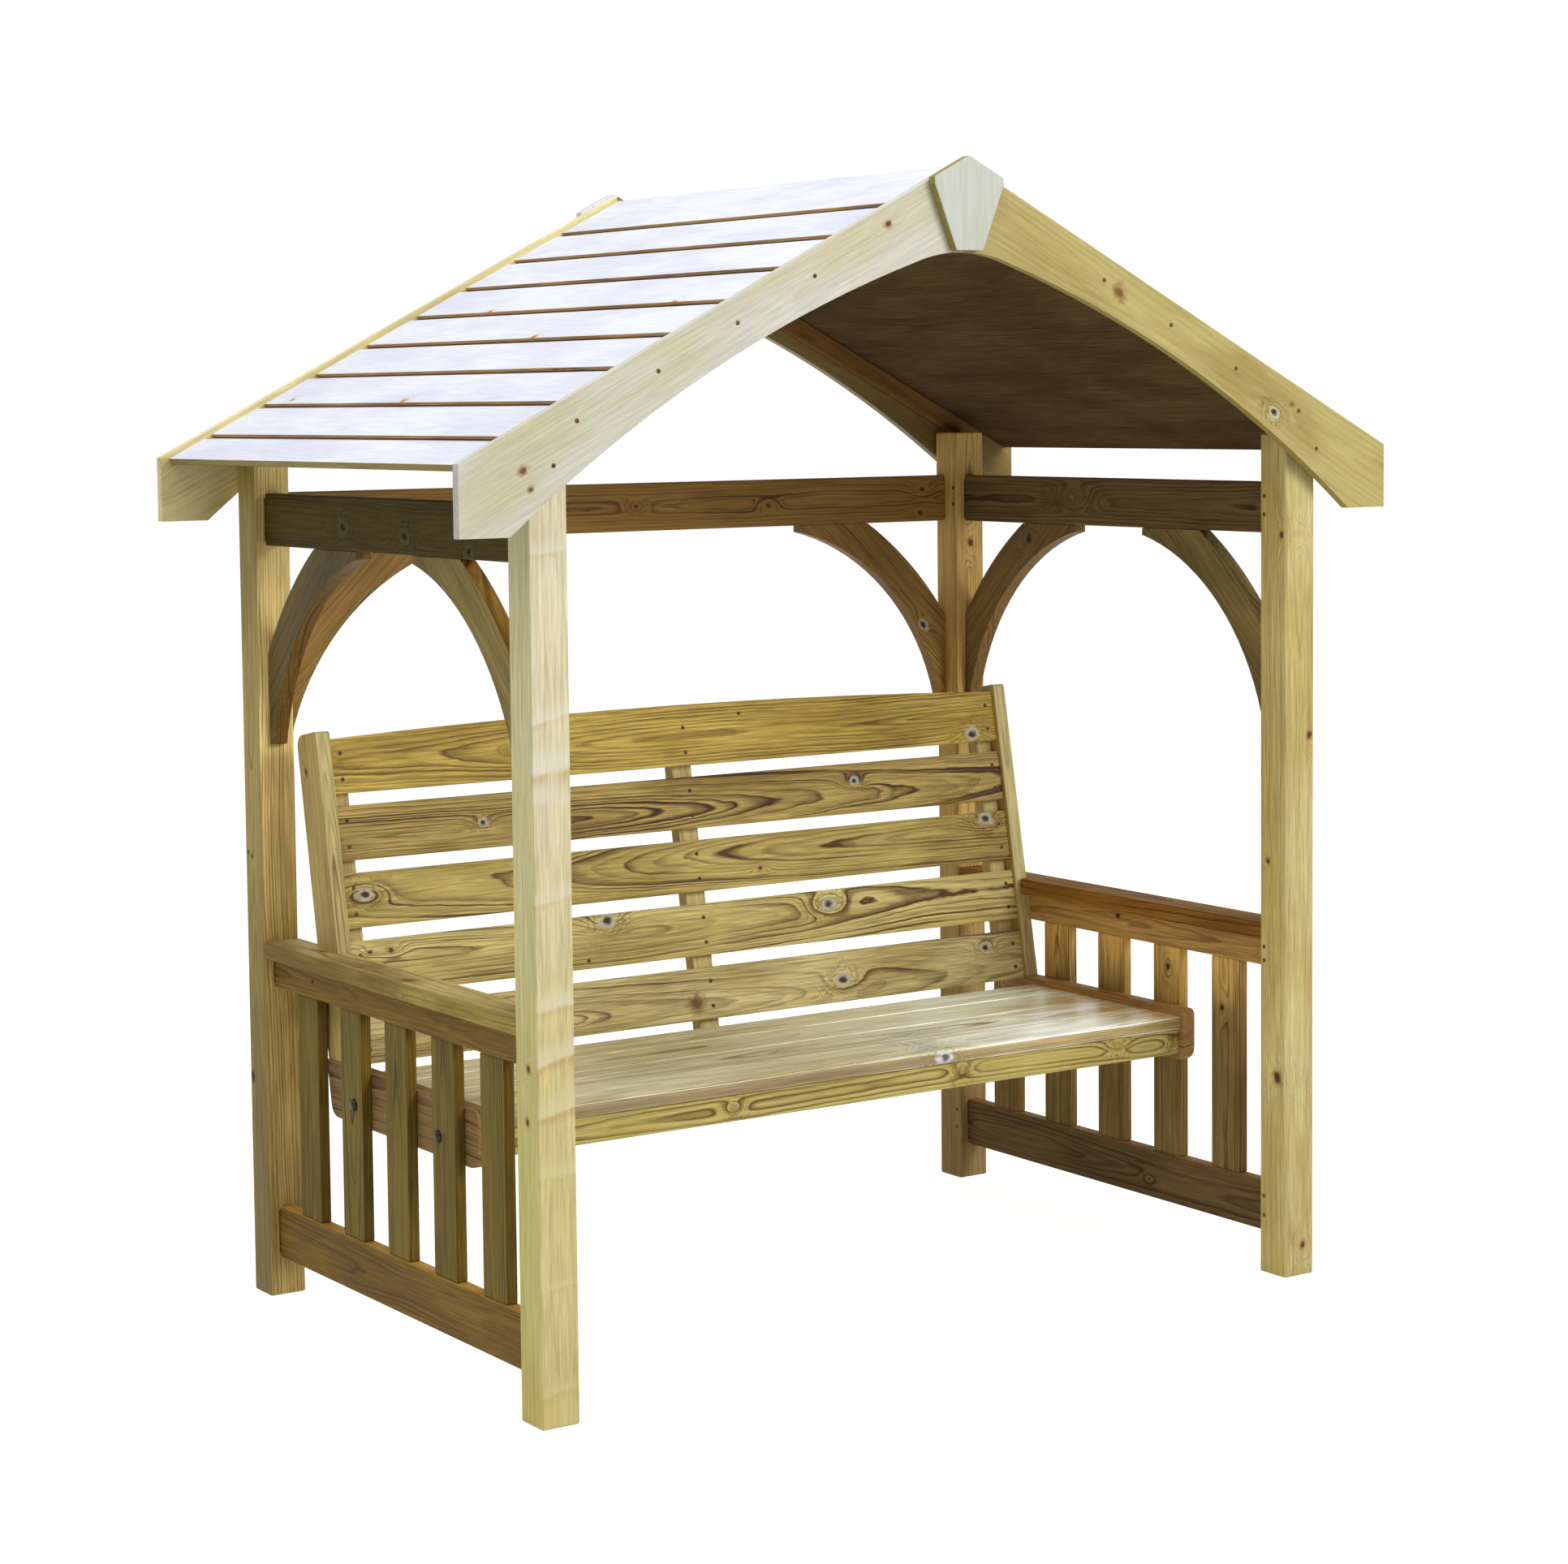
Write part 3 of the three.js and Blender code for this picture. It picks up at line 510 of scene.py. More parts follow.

# %% [markdown]
# ## The finish of each piece
#
# No two pieces come from the same tree, so each gets its own colours, ring width and place in the trunk.
# Most colours are the wood as it looks in plain light: cream on the front posts and golden brown with
# strong lines on the slats of the back. The olive and dark brown under the roof is painted shade, and the
# pale roof top and seat are partly painted sheen.

# %% The colours of the wood: pale ring, dark ring, stain, and the painted light and shade on the faces next to the main one
TONES = {
    "cream": ((226, 219, 190), (204, 182, 130), (218, 204, 158), (274, 278, 250)),
    "straw": ((204, 191, 132), (158, 132, 80), (184, 162, 96), (314, 311, 296)),
    "olive_post": ((205, 184, 108), (130, 106, 54), (168, 146, 78), (352, 349, 386)),
    "brown_post": ((240, 200, 118), (150, 106, 56), (202, 160, 88), (250, 250, 240)),
    # roof_shaded_rail is painted dark as the shade under the roof's eave.
    "roof_shaded_rail": ((102, 87, 42), (52, 42, 18), (76, 68, 31), (310, 290, 262)),
    "brown_rail": ((168, 129, 66), (88, 58, 24), (140, 104, 50), (255, 255, 250)),
    "shade_rail": ((138, 112, 70), (66, 50, 26), (106, 86, 50), (255, 250, 240)),
    "brace_lf": ((174, 150, 82), (82, 66, 32), (128, 110, 60), (276, 240, 206)),
    "brace_lb": ((122, 104, 57), (52, 42, 20), (90, 80, 42), (276, 240, 206)),
    "brace_rf": ((176, 152, 90), (88, 68, 34), (134, 112, 62), (255, 250, 240)),
    "brace_rb": ((152, 120, 64), (76, 52, 24), (116, 90, 46), (255, 250, 240)),
    "brace_back": ((180, 142, 76), (96, 66, 30), (140, 108, 52), (255, 250, 240)),
    "slat_1": ((212, 184, 92), (98, 66, 24), (172, 142, 60), (300, 288, 262)),
    "slat_2": ((194, 168, 98), (66, 40, 16), (144, 116, 54), (300, 288, 262)),
    "slat_3": ((206, 184, 109), (84, 58, 28), (168, 142, 72), (300, 288, 262)),
    "slat_4": ((222, 204, 132), (86, 60, 30), (184, 162, 92), (300, 288, 262)),
    "slat_5": ((216, 200, 142), (90, 62, 34), (180, 160, 98), (300, 288, 262)),
    # The seat's near-white pale ring is partly painted sheen; the front board's fourth tone darkens its
    # nose as painted shade.
    "seat": ((250, 248, 212), (148, 122, 68), (216, 198, 132), (290, 286, 270)),
    "seat_front": ((254, 251, 214), (150, 124, 70), (218, 200, 134), (146, 122, 80)),
    "apron": ((202, 187, 112), (108, 78, 34), (184, 163, 88), (235, 225, 200)),
    "bearer": ((178, 146, 94), (78, 54, 30), (150, 120, 74), (225, 222, 215)),
    "bearer_right": ((150, 121, 82), (70, 48, 28), (128, 102, 66), (330, 315, 278)),
    "barge_left": ((208, 208, 198), (192, 180, 144), (202, 196, 160), (262, 264, 278)),
    "barge_right": ((188, 174, 112), (152, 130, 72), (164, 146, 84), (238, 232, 190)),
    "barge_back_left": ((238, 225, 165), (168, 142, 88), (206, 186, 124), (270, 275, 300)),
    "barge_back_right": ((166, 144, 88), (116, 92, 50), (138, 116, 66), (300, 320, 400)),
    # The plates' whitish and bluish tones are painted reflection of the sky.
    "plate": ((200, 204, 196), (186, 176, 148), (190, 192, 180), (190, 168, 92)),
    "plate_back": ((214, 222, 232), (200, 204, 206), (206, 214, 224), (255, 255, 255)),
    "batten": ((146, 108, 54), (88, 58, 24), (124, 90, 42), (250, 235, 215)),
    "cap": ((200, 182, 114), (106, 80, 38), (136, 112, 60), (240, 236, 196)),
    "rail_right": ((222, 176, 108), (120, 80, 40), (190, 144, 80), (245, 225, 205)),
    "cap_right": ((176, 132, 68), (88, 58, 26), (138, 100, 50), (262, 245, 225)),
    "pale": ((144, 124, 60), (62, 46, 16), (116, 98, 42), (215, 205, 180)),
    # The right pales' pale ring passes white in red: painted light that lifts them out of their shade.
    "pale_right": ((275, 226, 136), (118, 80, 34), (222, 172, 90), (225, 220, 205)),
    "low_rail": ((156, 124, 60), (83, 58, 24), (124, 99, 46), (320, 300, 270)),
    "low_rail_right": ((133, 105, 64), (66, 46, 26), (106, 82, 48), (330, 310, 285)),
    "stile": ((212, 198, 138), (128, 100, 56), (180, 162, 102), (255, 240, 215)),
    # The roof's top is painted near white and bluish as sheen.
    "roof_top_sheen": ((234, 236, 243), (204, 202, 208), (212, 214, 230), (240, 240, 240)),
    # The roof's underside is painted dark as the shade under the roof.
    "roof_under_shade": ((112, 92, 64), (58, 44, 28), (82, 66, 44), (250, 250, 240)),
    "roof_edge": ((172, 156, 94), (120, 98, 50), (150, 134, 76), (255, 255, 255)),
    # roof_gap_shade is painted shadow in the channel under each board's edge.
    "roof_gap_shade": ((74, 56, 30), (46, 34, 18), (58, 44, 24), (255, 255, 255)),
    "roof_joint": ((184, 146, 82), (118, 84, 38), (152, 114, 58), (255, 255, 255)),
}
print("tones:", len(TONES))

# %% Which way each piece's grain runs, which face shows, and how it looks
UP, ACROSS, BACKWARD = (0, 0, 1), (1, 0, 0), (0, 1, 0)
FRONT, LEFT = (0, -1, 0), (-1, 0, 0)
BACK_LEAN, ROOF_PITCH = 0.185, 0.5086
LEAN, SLOPE = math.atan(BACK_LEAN), math.atan(ROOF_PITCH)
LEAN_DOWN = (0, -math.sin(LEAN), -math.cos(LEAN))
LEAN_FRONT = (0, -math.cos(LEAN), math.sin(LEAN))
SLOPE_LEFT = (-math.cos(SLOPE), 0, -math.sin(SLOPE))
SLOPE_RIGHT = (math.cos(SLOPE), 0, -math.sin(SLOPE))
# The bars on the front left post: height, rise, width in mm, strength, and how orange the lower edge is.
BARS = ((1412, -0.1, 14, 0.4, 0.7), (1147, -0.25, 16, 0.45, 0.6), (1060, -0.15, 30, 0.7, 0.7),
        (1010, 0.1, 26, 0.5, 0.0), (859, -0.25, 18, 0.5, 0.6), (683, -0.05, 21, 0.9, 0.35),
        (596, -0.18, 22, 0.9, 0.6), (512, -0.25, 23, 0.9, 0.55), (407, -0.08, 21, 0.7, 0.1),
        (228, -0.08, 10, 0.45, 0.2), (56, -0.12, 16, 0.45, 0.4))
# SEAT_END_SHADE darkens the seat's right end by the arm: painted shade that takes off some of the sheen.
SEAT_END_SHADE = ("X", 590, 770, (205, 180, 135))
looks = {}


def look(names, along, out, tone, **more):
    for name in names.split():
        looks[name] = dict(along=along, out=out, tone=TONES[tone], **more)


look("post_front_left", UP, FRONT, "cream", ring=4.2, depth=-90, lines=0.5, stain=0.8, bars=BARS,
     wash=(("Z", 1150, 350, (240, 233, 190)),),
     knots=(((-835, -511, 586), 9, "brown", "side"), ((-835, -506, 498), 8, "brown", "side")))
look("post_front_right", UP, FRONT, "straw", ring=4.0, depth=-70, lines=0.6, stain=0.9, fibre=0.28,
     knots=(((765, -516, 378), 15, "brown", "side"), ((809, -540, 57), 11, "brown"),
            ((765, -492, 783), 8, "brown", "side"), ((823, -540, 1020), 10, "brown"),
            ((765, -528, 1394), 9, "brown", "side")))
look("post_back_left", UP, LEFT, "olive_post", ring=4.5, depth=-60, lines=0.7, stain=0.8, fibre=0.28,
     wash=(("Z", 1000, 500, (214, 208, 198)),),
     knots=(((-835, 528, 826), 6, "shaded_hole"), ((-835, 512, 820), 5, "shaded_hole"), ((-835, 530, 406), 11, "shaded_hole")))
look("post_back_right", UP, FRONT, "brown_post", ring=4.5, depth=-60, lines=0.7, fibre=0.28,
     wash=(("Z", 800, 250, (192, 196, 212)),), knots=(((801, 470, 1349), 10, "brown"),))
look("top_rail_left", BACKWARD, LEFT, "roof_shaded_rail", depth=-50, wander=10, gloss=0.05, fibre=0.3,
     knots=(((-814, 154, 1436), 13, "green"), ((-814, -78, 1426), 11, "green"),
            ((-814, -302, 1408), 11, "green")))
look("top_rail_back", ACROSS, FRONT, "brown_rail", seed=2.3, depth=-34, wander=12, fibre=0.28,
     knots=(((7, 512, 1443), 8, "brown"), ((320, 512, 1438), 8, "brown"), ((707, 512, 1462), 9, "brown"),
            ((701, 512, 1413), 9, "brown")))
look("top_rail_right", BACKWARD, LEFT, "shade_rail", depth=-45, fibre=0.3, gloss=0.08,
     knots=(((786, 112, 1450), 15, "scar"),))

brace = dict(depth=-45, stain=0.9, fibre=0.34)
look("brace_left_front", (0, 1, 1), LEFT, "brace_lf", **brace)
look("brace_left_back", (0, -1, 1), LEFT, "brace_lb", **brace)
look("brace_right_front", (0, 1, 1), LEFT, "brace_rf", knots=(((786, -326, 1386), 12, "green"),), **brace)
look("brace_right_back", (0, -1, 1), LEFT, "brace_rb", knots=(((786, 252, 1365), 13, "green"),), **brace)
look("brace_back_left", (1, 0, 1), FRONT, "brace_back", **brace)
look("brace_back_right", (-1, 0, 1), FRONT, "brace_back", knots=(((708, 512, 1179), 9, "grey"),), **brace)

look("arm_rail_left", BACKWARD, LEFT, "low_rail", depth=-40, gloss=0.07, fibre=0.3)
look("arm_rail_right", BACKWARD, LEFT, "rail_right", depth=-40, gloss=0.07, fibre=0.3,
     knots=(((786, -27, 621), 7, "brown"),))
look("arm_cap_left", BACKWARD, UP, "cap", depth=-60, stain=0.9, fibre=0.34, gloss=0.12,
     knots=(((-822, 110, 665), 13, "stain"), ((-818, -60, 665), 18, "stain"),
            ((-800, 300, 665), 10, "stain")))
look("arm_cap_right", BACKWARD, UP, "cap_right", depth=-60, stain=0.9, fibre=0.34, gloss=0.03)
look("bottom_rail_left", BACKWARD, LEFT, "low_rail", depth=-50, gloss=0.07, fibre=0.3)
look("bottom_rail_right", BACKWARD, LEFT, "low_rail_right", depth=-50, gloss=0.07, fibre=0.3,
     knots=(((786, -122, 108), 6, "brown"),))
pale = dict(depth=-35, wander=12, gloss=0.07, fibre=0.3)
look(" ".join(f"pale_left_{i}" for i in range(1, 6)), UP, LEFT, "pale", **pale)
look(" ".join(f"pale_right_{i}" for i in range(1, 6)), UP, LEFT, "pale_right",
     wash=(("Z", 600, 360, (152, 156, 160)),), **pale)
looks["pale_right_1"]["knots"] = (((790, -335, 480), 8, "brown"),)
looks["pale_right_2"]["knots"] = (((790, -175, 538), 8, "brown"),)

look("back_slat_1", ACROSS, LEAN_FRONT, "slat_1", seed=8.1, ring=6.5, depth=-32, wander=18, climb=0.03,
     lines=0.85, fibre=0.38, stain=0.8,
     knots=(((132, 344, 1038), 6, "shaded_hole"), ((694, 328, 962), 12, "grey")))
look("back_slat_2", ACROSS, LEAN_FRONT, "slat_2", seed=9.1, ring=5, depth=-40, climb=-0.05, heart=12,
     lines=1.25, fibre=0.38, stain=0.8, knots=(((-460, 312, 873), 8, "grey"), ((388, 315, 889), 8, "grey")))
look("back_slat_3", ACROSS, LEAN_FRONT, "slat_3", seed=3.3, ring=5.5, depth=-50, climb=0.05, heart=-18,
     lines=1.25, fibre=0.38, stain=0.8,
     knots=(((704, 297, 790), 13, "grey"), ((-715, 292, 762), 11, "grey"), ((143, 287, 738), 6, "brown")))
look("back_slat_4", ACROSS, LEAN_FRONT, "slat_4", seed=4.3, ring=5, depth=-36, wander=16, climb=-0.03,
     heart=-12, lines=1.2, fibre=0.38, stain=0.8,
     knots=(((-215, 275, 669), 13, "grey"), ((292, 272, 654), 14, "grey"), ((-717, 273, 660), 7, "brown"),
            ((-675, 273, 659), 8, "brown"), ((-264, 261, 599), 5, "shaded_hole")))
look("back_slat_5", ACROSS, LEAN_FRONT, "slat_5", seed=12.1, ring=5.5, depth=-36, wander=16, climb=-0.05,
     heart=20, lines=1.0, fibre=0.38, stain=0.8,
     knots=(((308, 244, 505), 13, "grey"), ((666, 249, 532), 9, "grey"), ((-38, 242, 496), 18, "stain")))
look("back_stile_left", LEAN_DOWN, LEAN_FRONT, "stile", depth=-50, fibre=0.28,
     knots=(((-785.7, 380, 984), 8, "brown", "side"),))
look("back_stile_right", LEAN_DOWN, LEAN_FRONT, "stile", depth=-50, fibre=0.28)
look("back_stile_middle back_cleat_left back_cleat_right", LEAN_DOWN, LEAN_FRONT, "stile", depth=-50)

# The seat's first wash turns the top paler and bluer towards the right: a painted sheen.
look("seat_board_1", ACROSS, UP, "seat_front", depth=-50, lines=1.0, gloss=0.5, sheen=1.65, roughness=0.36,
     fibre=0.42, wash=(("X", -150, 550, (318, 334, 380)), SEAT_END_SHADE),
     knots=(((192, -250, 441), 13, "grey", "side"),))
look("seat_board_2 seat_board_3 seat_board_4", ACROSS, UP, "seat", depth=-60, lines=1.0, gloss=0.9,
     sheen=1.75, roughness=0.36, fibre=0.42, wash=(("X", -150, 550, (320, 336, 380)), SEAT_END_SHADE))
look("seat_bearer_left", BACKWARD, FRONT, "bearer", depth=-40, fibre=0.28)
look("seat_bearer_right", BACKWARD, FRONT, "bearer_right", depth=-40, fibre=0.28)
look("seat_rail_back seat_bearer_middle", ACROSS, FRONT, "bearer", depth=-40)
look("apron", ACROSS, FRONT, "apron", depth=-22, ring=7, seed=1.3, lines=0.9, wander=20,
     knots=(((607, -242, 412), 10, "ring"), ((237, -242, 413), 9, "ring"), ((-269, -242, 405), 8, "ring"),
            ((753, -242, 403), 9, "ring")))

barge = dict(depth=-55, lines=0.45, ring=5.5, fibre=0.14, stain=0.95)
look("bargeboard_front_left", SLOPE_LEFT, FRONT, "barge_left", **barge,
     knots=(((-158, -574.6, 1942), 8, "brown"), ((-863, -574.6, 1545), 7, "stain"),
            ((-850, -574.6, 1515), 6, "stain")))
look("bargeboard_front_right", SLOPE_RIGHT, FRONT, "barge_right", **barge,
     knots=(((704, -574.6, 1621), 9, "grey"), ((340, -574.6, 1834), 14, "stain"),
            ((748, -574.6, 1634), 7, "stain")))
look("bargeboard_back_left", SLOPE_LEFT, FRONT, "barge_back_left", **barge)
look("bargeboard_back_right", SLOPE_RIGHT, FRONT, "barge_back_right", **barge)
look("roof_batten_front_left roof_batten_back_left", SLOPE_LEFT, FRONT, "batten", depth=-50)
look("roof_batten_front_right roof_batten_back_right", SLOPE_RIGHT, FRONT, "batten", depth=-50)
look("apex_plate_front", UP, FRONT, "plate", depth=-60, lines=0.35, fibre=0.1)
look("apex_plate_back", UP, FRONT, "plate_back", depth=-60, lines=0.3, fibre=0.1)
print("looks set:", len(looks), "of", len(nodes))

# %% Give every piece its finish and its rounded edges
SEED_STEP = 3.7
WELD = 0.00001
POST_EDGE, BOARD_EDGE = 0.0035, 0.0028
for number, (name, piece) in enumerate(sorted(nodes.items())):
    if name.startswith("roof_boards"):
        continue
    low, high = (Vector(corner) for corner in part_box(name))
    settings = dict(seed=SEED_STEP * number)
    settings.update(looks[name])
    piece.data.materials.clear()
    piece.data.materials.append(pine(name, (low + high) / 2, **settings))
    joined = piece.modifiers.new("joined", "WELD")
    joined.merge_threshold = WELD
    edge = piece.modifiers.new("rounded edges", "BEVEL")
    edge.width = POST_EDGE if name.startswith("post") else BOARD_EDGE
    edge.segments = 3
    edge.limit_method = "ANGLE"
    edge.angle_limit = math.radians(35)
    edge.harden_normals = True
print("finished pieces:", len(nodes) - 2)

# %% [markdown]
# ## The roof boards
#
# The roof is clad with nine boards a side, laid level. Each board's lower edge stands free over the next
# one, whose upper face is scooped out beneath it, so that a dark channel runs under every edge. The frame
# has each slope as one slab, so separate boards take its place. A board is modelled from a block: it is cut
# across its width in four places and the strip beside its upper edge is lowered in steps. The board at the
# ridge is wider and has no scoop, and the one at the eaves is narrower.

# %% Model the three roof boards
MM = 0.001
RIDGE_COVER, COVER, THICK, OPEN = 143 * MM, 120.3 * MM, 12 * MM, 0.1 * MM
RIDGE, EAVES = 2045.14 * MM, 1079.95 * MM
RIDGE_LAP = 3 * MM
BOARDS = 9
SHADOW = 5 * MM
SCOOP = ((0, 7.4), (4, 7.4), (10, 5.6), (15, 2.4), (18, 0))
BOARD_ARRIS, ARRIS_ANGLE = 0.8 * MM, 42
UNDER, TOP, END, JOINT, CHANNEL_SHADE = range(5)
low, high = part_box("roof_boards_left")
LONG = high[1] - low[1]


def start_block(name, size, place):
    bpy.ops.object.select_all(action="DESELECT")
    bpy.ops.mesh.primitive_cube_add(size=1, location=place)
    block = bpy.context.object
    block.name = block.data.name = name
    block.scale = size
    bpy.ops.object.transform_apply(location=True, rotation=True, scale=True)
    return block


def pick(piece):
    bpy.ops.object.select_all(action="DESELECT")
    piece.select_set(True)
    bpy.context.view_layer.objects.active = piece


def cut(piece, place, direction, keep=False):
    pick(piece)
    bpy.ops.object.mode_set(mode="EDIT")
    bpy.ops.mesh.select_all(action="SELECT")
    bpy.ops.mesh.bisect(plane_co=place, plane_no=direction, use_fill=not keep, clear_outer=not keep)
    bpy.ops.object.mode_set(mode="OBJECT")


def ease(piece):
    pick(piece)
    edge = piece.modifiers.new("eased edges", "BEVEL")
    edge.width, edge.segments = BOARD_ARRIS, 2
    edge.limit_method, edge.angle_limit = "ANGLE", math.radians(ARRIS_ANGLE)
    bpy.ops.object.modifier_apply(modifier=edge.name)


def scoop(piece):
    bpy.ops.object.mode_set(mode="EDIT")
    for along, _ in SCOOP[1:]:
        bpy.ops.mesh.select_all(action="SELECT")
        bpy.ops.mesh.bisect(plane_co=(along * MM, 0, 0), plane_no=(1, 0, 0))
    bpy.ops.mesh.select_mode(type="VERT")
    shape = bmesh.from_edit_mesh(piece.data)
    for along, drop in SCOOP[:-1]:
        for corner in shape.verts:
            corner.select_set(abs(corner.co.x - along * MM) < OPEN and corner.co.z > -THICK / 2)
            if corner.select:
                corner.co.z -= drop * MM
    bmesh.update_edit_mesh(piece.data)
    bpy.ops.mesh.select_all(action="SELECT")
    bpy.ops.mesh.normals_make_consistent(inside=False)
    bpy.ops.object.mode_set(mode="OBJECT")


def roof_board(name, start, end, scooped):
    piece = start_block(name, (end - start, LONG, THICK), ((start + end) / 2, 0, -THICK / 2))
    if scooped:
        scoop(piece)
    cut(piece, (0, 0, -SHADOW), (0, 0, 1), keep=True)
    ease(piece)
    for face in piece.data.polygons:
        place = face.center
        if place.z < MM - THICK:
            face.material_index = UNDER
        elif place.x > end - MM:
            # Below its top 5 mm, the lower edge is painted dark as the shadow in the channel under it.
            face.material_index = JOINT if place.z > -SHADOW else CHANNEL_SHADE
        else:
            face.material_index = END if abs(place.y) > LONG / 2 - MM else TOP
    return piece


ridge_board = roof_board("ridge_board", -RIDGE_LAP, RIDGE_COVER - OPEN, False)
middle_board = roof_board("middle_board", 0, COVER - OPEN, True)
eaves_board = roof_board("eaves_board", 0, EAVES - RIDGE_COVER - (BOARDS - 2) * COVER, True)
models = (ridge_board, middle_board, eaves_board)
print("roof boards, width in mm:", [round(model.dimensions.x / MM, 1) for model in models])

# %% Lay the boards on both slopes
SLOPE_MIDDLE = 0.476
ORANGE_KNOTS = (((-551, -69, 1765), 9, "orange"), ((-449, -364, 1817), 8, "orange"),
                ((-446, 277, 1818), 8, "orange"), ((-765, 12, 1656), 9, "orange"),
                ((-756, 466, 1661), 8, "orange"))
for side, sign in (("left", -1), ("right", 1)):
    lie = dict(middle=(sign * SLOPE_MIDDLE, 0, 1.8), along=BACKWARD, depth=-45,
               out=(sign * math.sin(SLOPE), 0, math.cos(SLOPE)))
    # The top's near-white, bluish tone is painted sheen.
    sunny = pine(f"roof_top_sheen_{side}", tone=TONES["roof_top_sheen"], lines=0.3, stain=0.7, fibre=0.1,
                 knots=ORANGE_KNOTS if sign < 0 else (), **lie)
    # The underside's dark brown is painted shade.
    shaded = pine(f"roof_under_shade_{side}", tone=TONES["roof_under_shade"], lines=0.5, fibre=0.34, gloss=0.0, **lie)
    ends = pine(f"roof_ends_{side}", tone=TONES["roof_edge"], **lie)
    joint = pine(f"roof_joints_{side}", tone=TONES["roof_joint"], **lie)
    # Painted shadow for the channel under each edge.
    channel_shade = pine(f"roof_gaps_{side}", tone=TONES["roof_gap_shade"], **lie)
    for number in range(BOARDS):
        last = number == BOARDS - 1
        piece = (ridge_board if number == 0 else eaves_board if last else middle_board).copy()
        piece.data = piece.data.copy()
        piece.name = piece.data.name = f"roof_board_{side}_{number + 1}"
        bpy.context.scene.collection.objects.link(piece)
        if number:
            piece.data.transform(Matrix.Translation((RIDGE_COVER + COVER * (number - 1), 0, 0)))
        piece.data.transform(Matrix.Translation((0, 0, RIDGE)) @ Matrix.Rotation(SLOPE, 4, "Y"))
        if sign < 0:
            piece.data.transform(Matrix.Rotation(math.pi, 4, "Z"))
        if number == 0:
            cut(piece, (sign * 0.3 * MM, 0, 0), (-sign, 0, 0))
        for finish in (shaded, sunny, ends, *((ends, ends) if last else (joint, channel_shade))):
            piece.data.materials.append(finish)
        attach(piece, "root")
for model in models:
    bpy.data.objects.remove(model)
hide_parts("roof_boards_left")
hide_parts("roof_boards_right")

# %% [markdown]
# ## Screws and bolts
#
# The boards are held by countersunk screws, and the seat's bearers by coach bolts with domed heads. One
# screw head is modelled from a short cylinder: its top is inset and pressed in for the driver. The bolt's
# dome starts the same way, and its top is raised, then inset and raised in four steps. The outer ring of
# each screw head and the bolt's flange are painted dark as the shadow of the hole round them.

# %% The metal finishes
SPECK = (260.0, 260.0, 260.0)


def metal(name, colour, rust, roughness):
    material = bpy.data.materials.new(name)
    material.use_nodes = True
    tree = material.node_tree
    shader = tree.nodes["Principled BSDF"]
    shader.inputs["Metallic"].default_value = 0.85
    place = tree.nodes.new("ShaderNodeTexCoord")
    speck = cloud(tree, place.outputs["Object"], SPECK, 2.0, 3.0).outputs["Fac"]
    finish = blended(tree, ranged(tree, speck, 0.45, 0.7), paint(colour), paint(rust))
    feed(tree, shader.inputs["Base Color"], finish)
    feed(tree, shader.inputs["Roughness"], ranged(tree, speck, 0.3, 0.7, roughness, roughness + 0.2))
    return material


zinc = metal("zinc", (46, 46, 44), (30, 28, 24), 0.2)
dull = metal("dull_zinc", (82, 72, 56), (46, 38, 28), 0.5)
bronze = metal("brown_plated", (96, 78, 52), (60, 44, 28), 0.45)
# The rim finish is painted shadow: the dark ring round each head.
rim_shadow = metal("painted_rim_shadow", (52, 38, 22), (34, 24, 14), 0.8)
print("metal finishes: 4")

# %% Model one screw head and one bolt head
SCREW_RADIUS, SCREW_HEIGHT, RECESS_RADIUS = 3.9 * MM, 0.8 * MM, 2.95 * MM
BOLT_RADIUS, BOLT_HEIGHT, DOME_RADIUS = 12.5 * MM, 1.0 * MM, 11.3 * MM
DOME = ((0.8, 1.6), (1.8, 1.4), (3.0, 0.9), (3.2, 0.25))


def start_disc(name, radius, height, sides):
    bpy.ops.object.select_all(action="DESELECT")
    bpy.ops.mesh.primitive_cylinder_add(vertices=sides, radius=radius, depth=height, location=(0, 0, 0),
                                        end_fill_type="NGON")
    disc = bpy.context.object
    disc.name = disc.data.name = name
    bpy.ops.object.mode_set(mode="EDIT")
    bpy.ops.mesh.select_mode(type="FACE")
    shape = bmesh.from_edit_mesh(disc.data)
    for face in shape.faces:
        face.select_set(face.normal.z > 0.9)
    shape.select_flush_mode()
    return disc


def from_middle(face):
    return math.hypot(face.center.x, face.center.y)


screw = start_disc("screw", SCREW_RADIUS, SCREW_HEIGHT, 16)
for inset, rise in ((0.9, 0), (0.3, 0.2), (1.1, 0.1), (0.3, -0.7)):
    bpy.ops.mesh.inset(thickness=inset * MM, depth=rise * MM)
bpy.ops.object.mode_set(mode="OBJECT")
# The outer ring of the screw head gets the painted shadow.
for face in screw.data.polygons:
    face.material_index = 1 if from_middle(face) > RECESS_RADIUS else 0

bolt = start_disc("bolt", BOLT_RADIUS, BOLT_HEIGHT, 24)
bpy.ops.mesh.inset(thickness=1.3 * MM, depth=0)
bpy.ops.mesh.extrude_region_move(TRANSFORM_OT_translate={"value": (0, 0, 1.0 * MM)})
for inset, rise in DOME:
    bpy.ops.mesh.inset(thickness=inset * MM, depth=rise * MM)
bpy.ops.object.mode_set(mode="OBJECT")
# The bolt's flange gets the painted shadow.
for face in bolt.data.polygons:
    face.material_index = 1 if from_middle(face) > DOME_RADIUS and face.center.z < 0.8 * MM else 0
print("faces: screw", len(screw.data.polygons), "bolt", len(bolt.data.polygons))


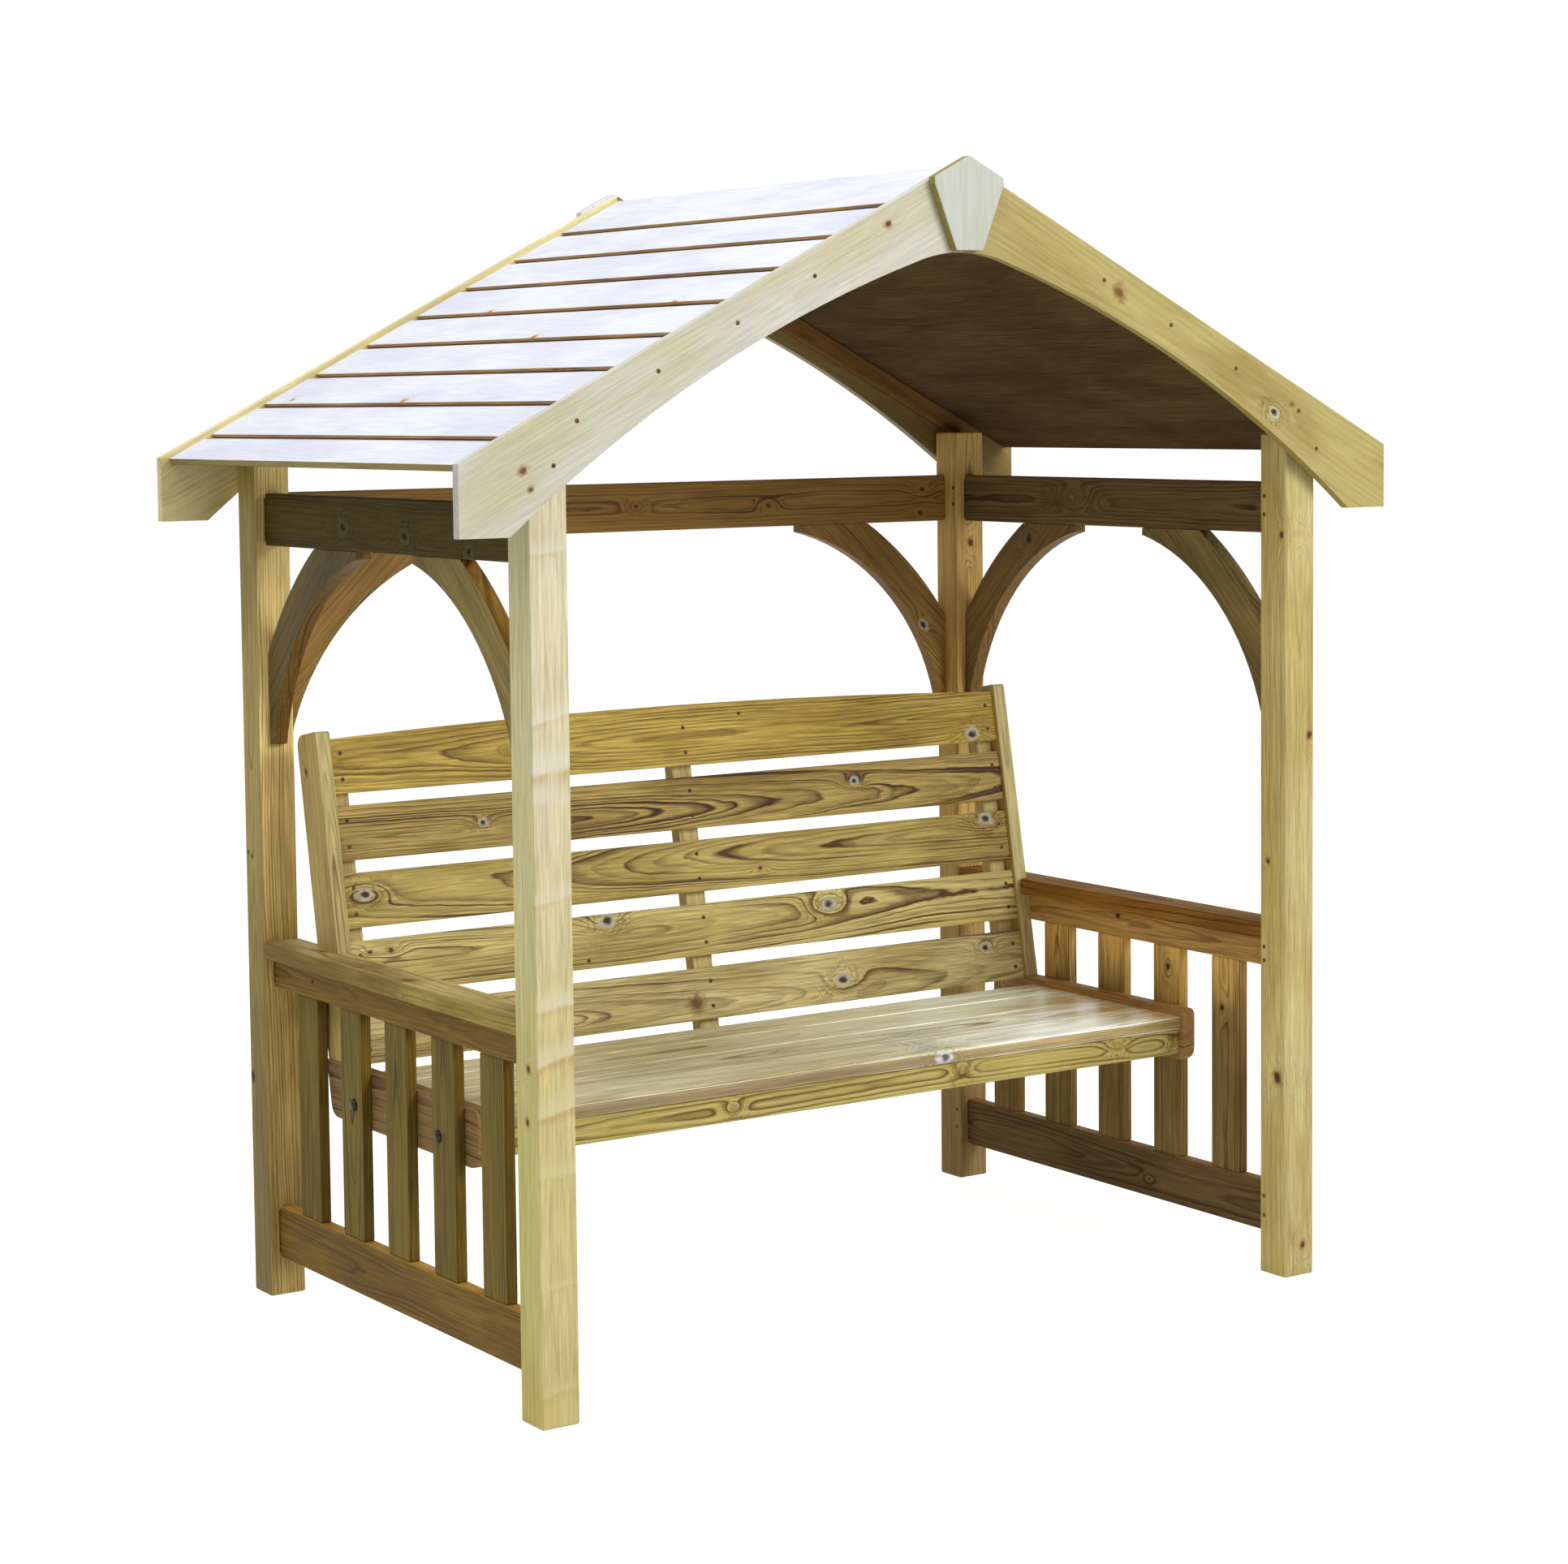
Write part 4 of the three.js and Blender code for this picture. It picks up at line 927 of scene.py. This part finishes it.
# %% Copy them to their places, one piece for each board that they hold
def fasten(name, model, spots, outward, finish):
    turn = Vector(outward).normalized().to_track_quat("Z", "Y").to_matrix().to_4x4()
    copies = []
    for spot in spots:
        copy = model.copy()
        copy.data = model.data.copy()
        copy.data.transform(Matrix.Translation(Vector(spot) * MM) @ turn)
        bpy.context.scene.collection.objects.link(copy)
        copies.append(copy)
    bpy.ops.object.select_all(action="DESELECT")
    for copy in copies:
        copy.select_set(True)
    bpy.context.view_layer.objects.active = copies[0]
    bpy.ops.object.join()
    piece = bpy.context.object
    piece.name = piece.data.name = name
    bpy.ops.object.shade_smooth_by_angle(angle=math.radians(50))
    piece.data.materials.append(finish)
    piece.data.materials.append(rim_shadow)
    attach(piece, "root")
    fasteners.append(piece)


# All in millimetres. The slats' screws are measured down the front of the leaning stiles, from their tops.
STILE_TOP, SLAT_THICK, FIRST_SLAT, SLAT_STEP = (338.9, 1061), 8, 14.8 + 51, 123
ROOF_PEAK, SCREW_DROP, BARGE_FACE, APEX_FACE = 2054.64, 44, 574.7, 592.2
APEX_SPOTS = ((-49, 2007), (49, 2007), (-28, 1957), (28, 1957))
POST_FACE, PALE_FACE, BOLT_LEVEL = 765, 810, 409
fasteners = []
for number in range(5):
    spots = []
    for x in (-737, 0, 737):
        for off in (-24, 24):
            down = FIRST_SLAT + SLAT_STEP * number + off
            spots.append((x, STILE_TOP[0] + SLAT_THICK * math.cos(LEAN) - down * math.sin(LEAN),
                          STILE_TOP[1] - SLAT_THICK * math.sin(LEAN) - down * math.cos(LEAN)))
    fasten(f"slat_screws_{number + 1}", screw, spots, LEAN_FRONT, dull)
for end, away, outward in (("front", -1, FRONT), ("back", 1, BACKWARD)):
    y = away * BARGE_FACE
    for side, sign in (("left", -1), ("right", 1)):
        spots = [(sign * x, y, ROOF_PEAK - ROOF_PITCH * x - SCREW_DROP) for x in (307, 459.5, 612, 764.5)]
        fasten(f"bargeboard_screws_{end}_{side}", screw, spots + [(sign * 808, y, 1552)], outward, bronze)
for end, away, outward in (("front", -1, FRONT), ("back", 1, BACKWARD)):
    fasten(f"apex_screws_{end}", screw, [(x, away * APEX_FACE, z) for x, z in APEX_SPOTS], outward, bronze)
for side, sign in (("left", -1), ("right", 1)):
    spots = [(sign * PALE_FACE, y, BOLT_LEVEL) for y in (-152, 164)]
    fasten(f"seat_bolts_{side}", bolt, spots, (sign, 0, 0), zinc)
    spots = [(sign * POST_FACE, y, z) for y in (-481, 481) for z in (109, 146, 594, 620, 1430, 1464)]
    fasten(f"post_screws_{side}", screw, spots, (-sign, 0, 0), bronze)
fasten("arm_rail_screw", screw, [(-814, 313, 610)], LEFT, zinc)
bpy.data.objects.remove(screw)
bpy.data.objects.remove(bolt)
print("fasteners:", len(fasteners), "pieces")
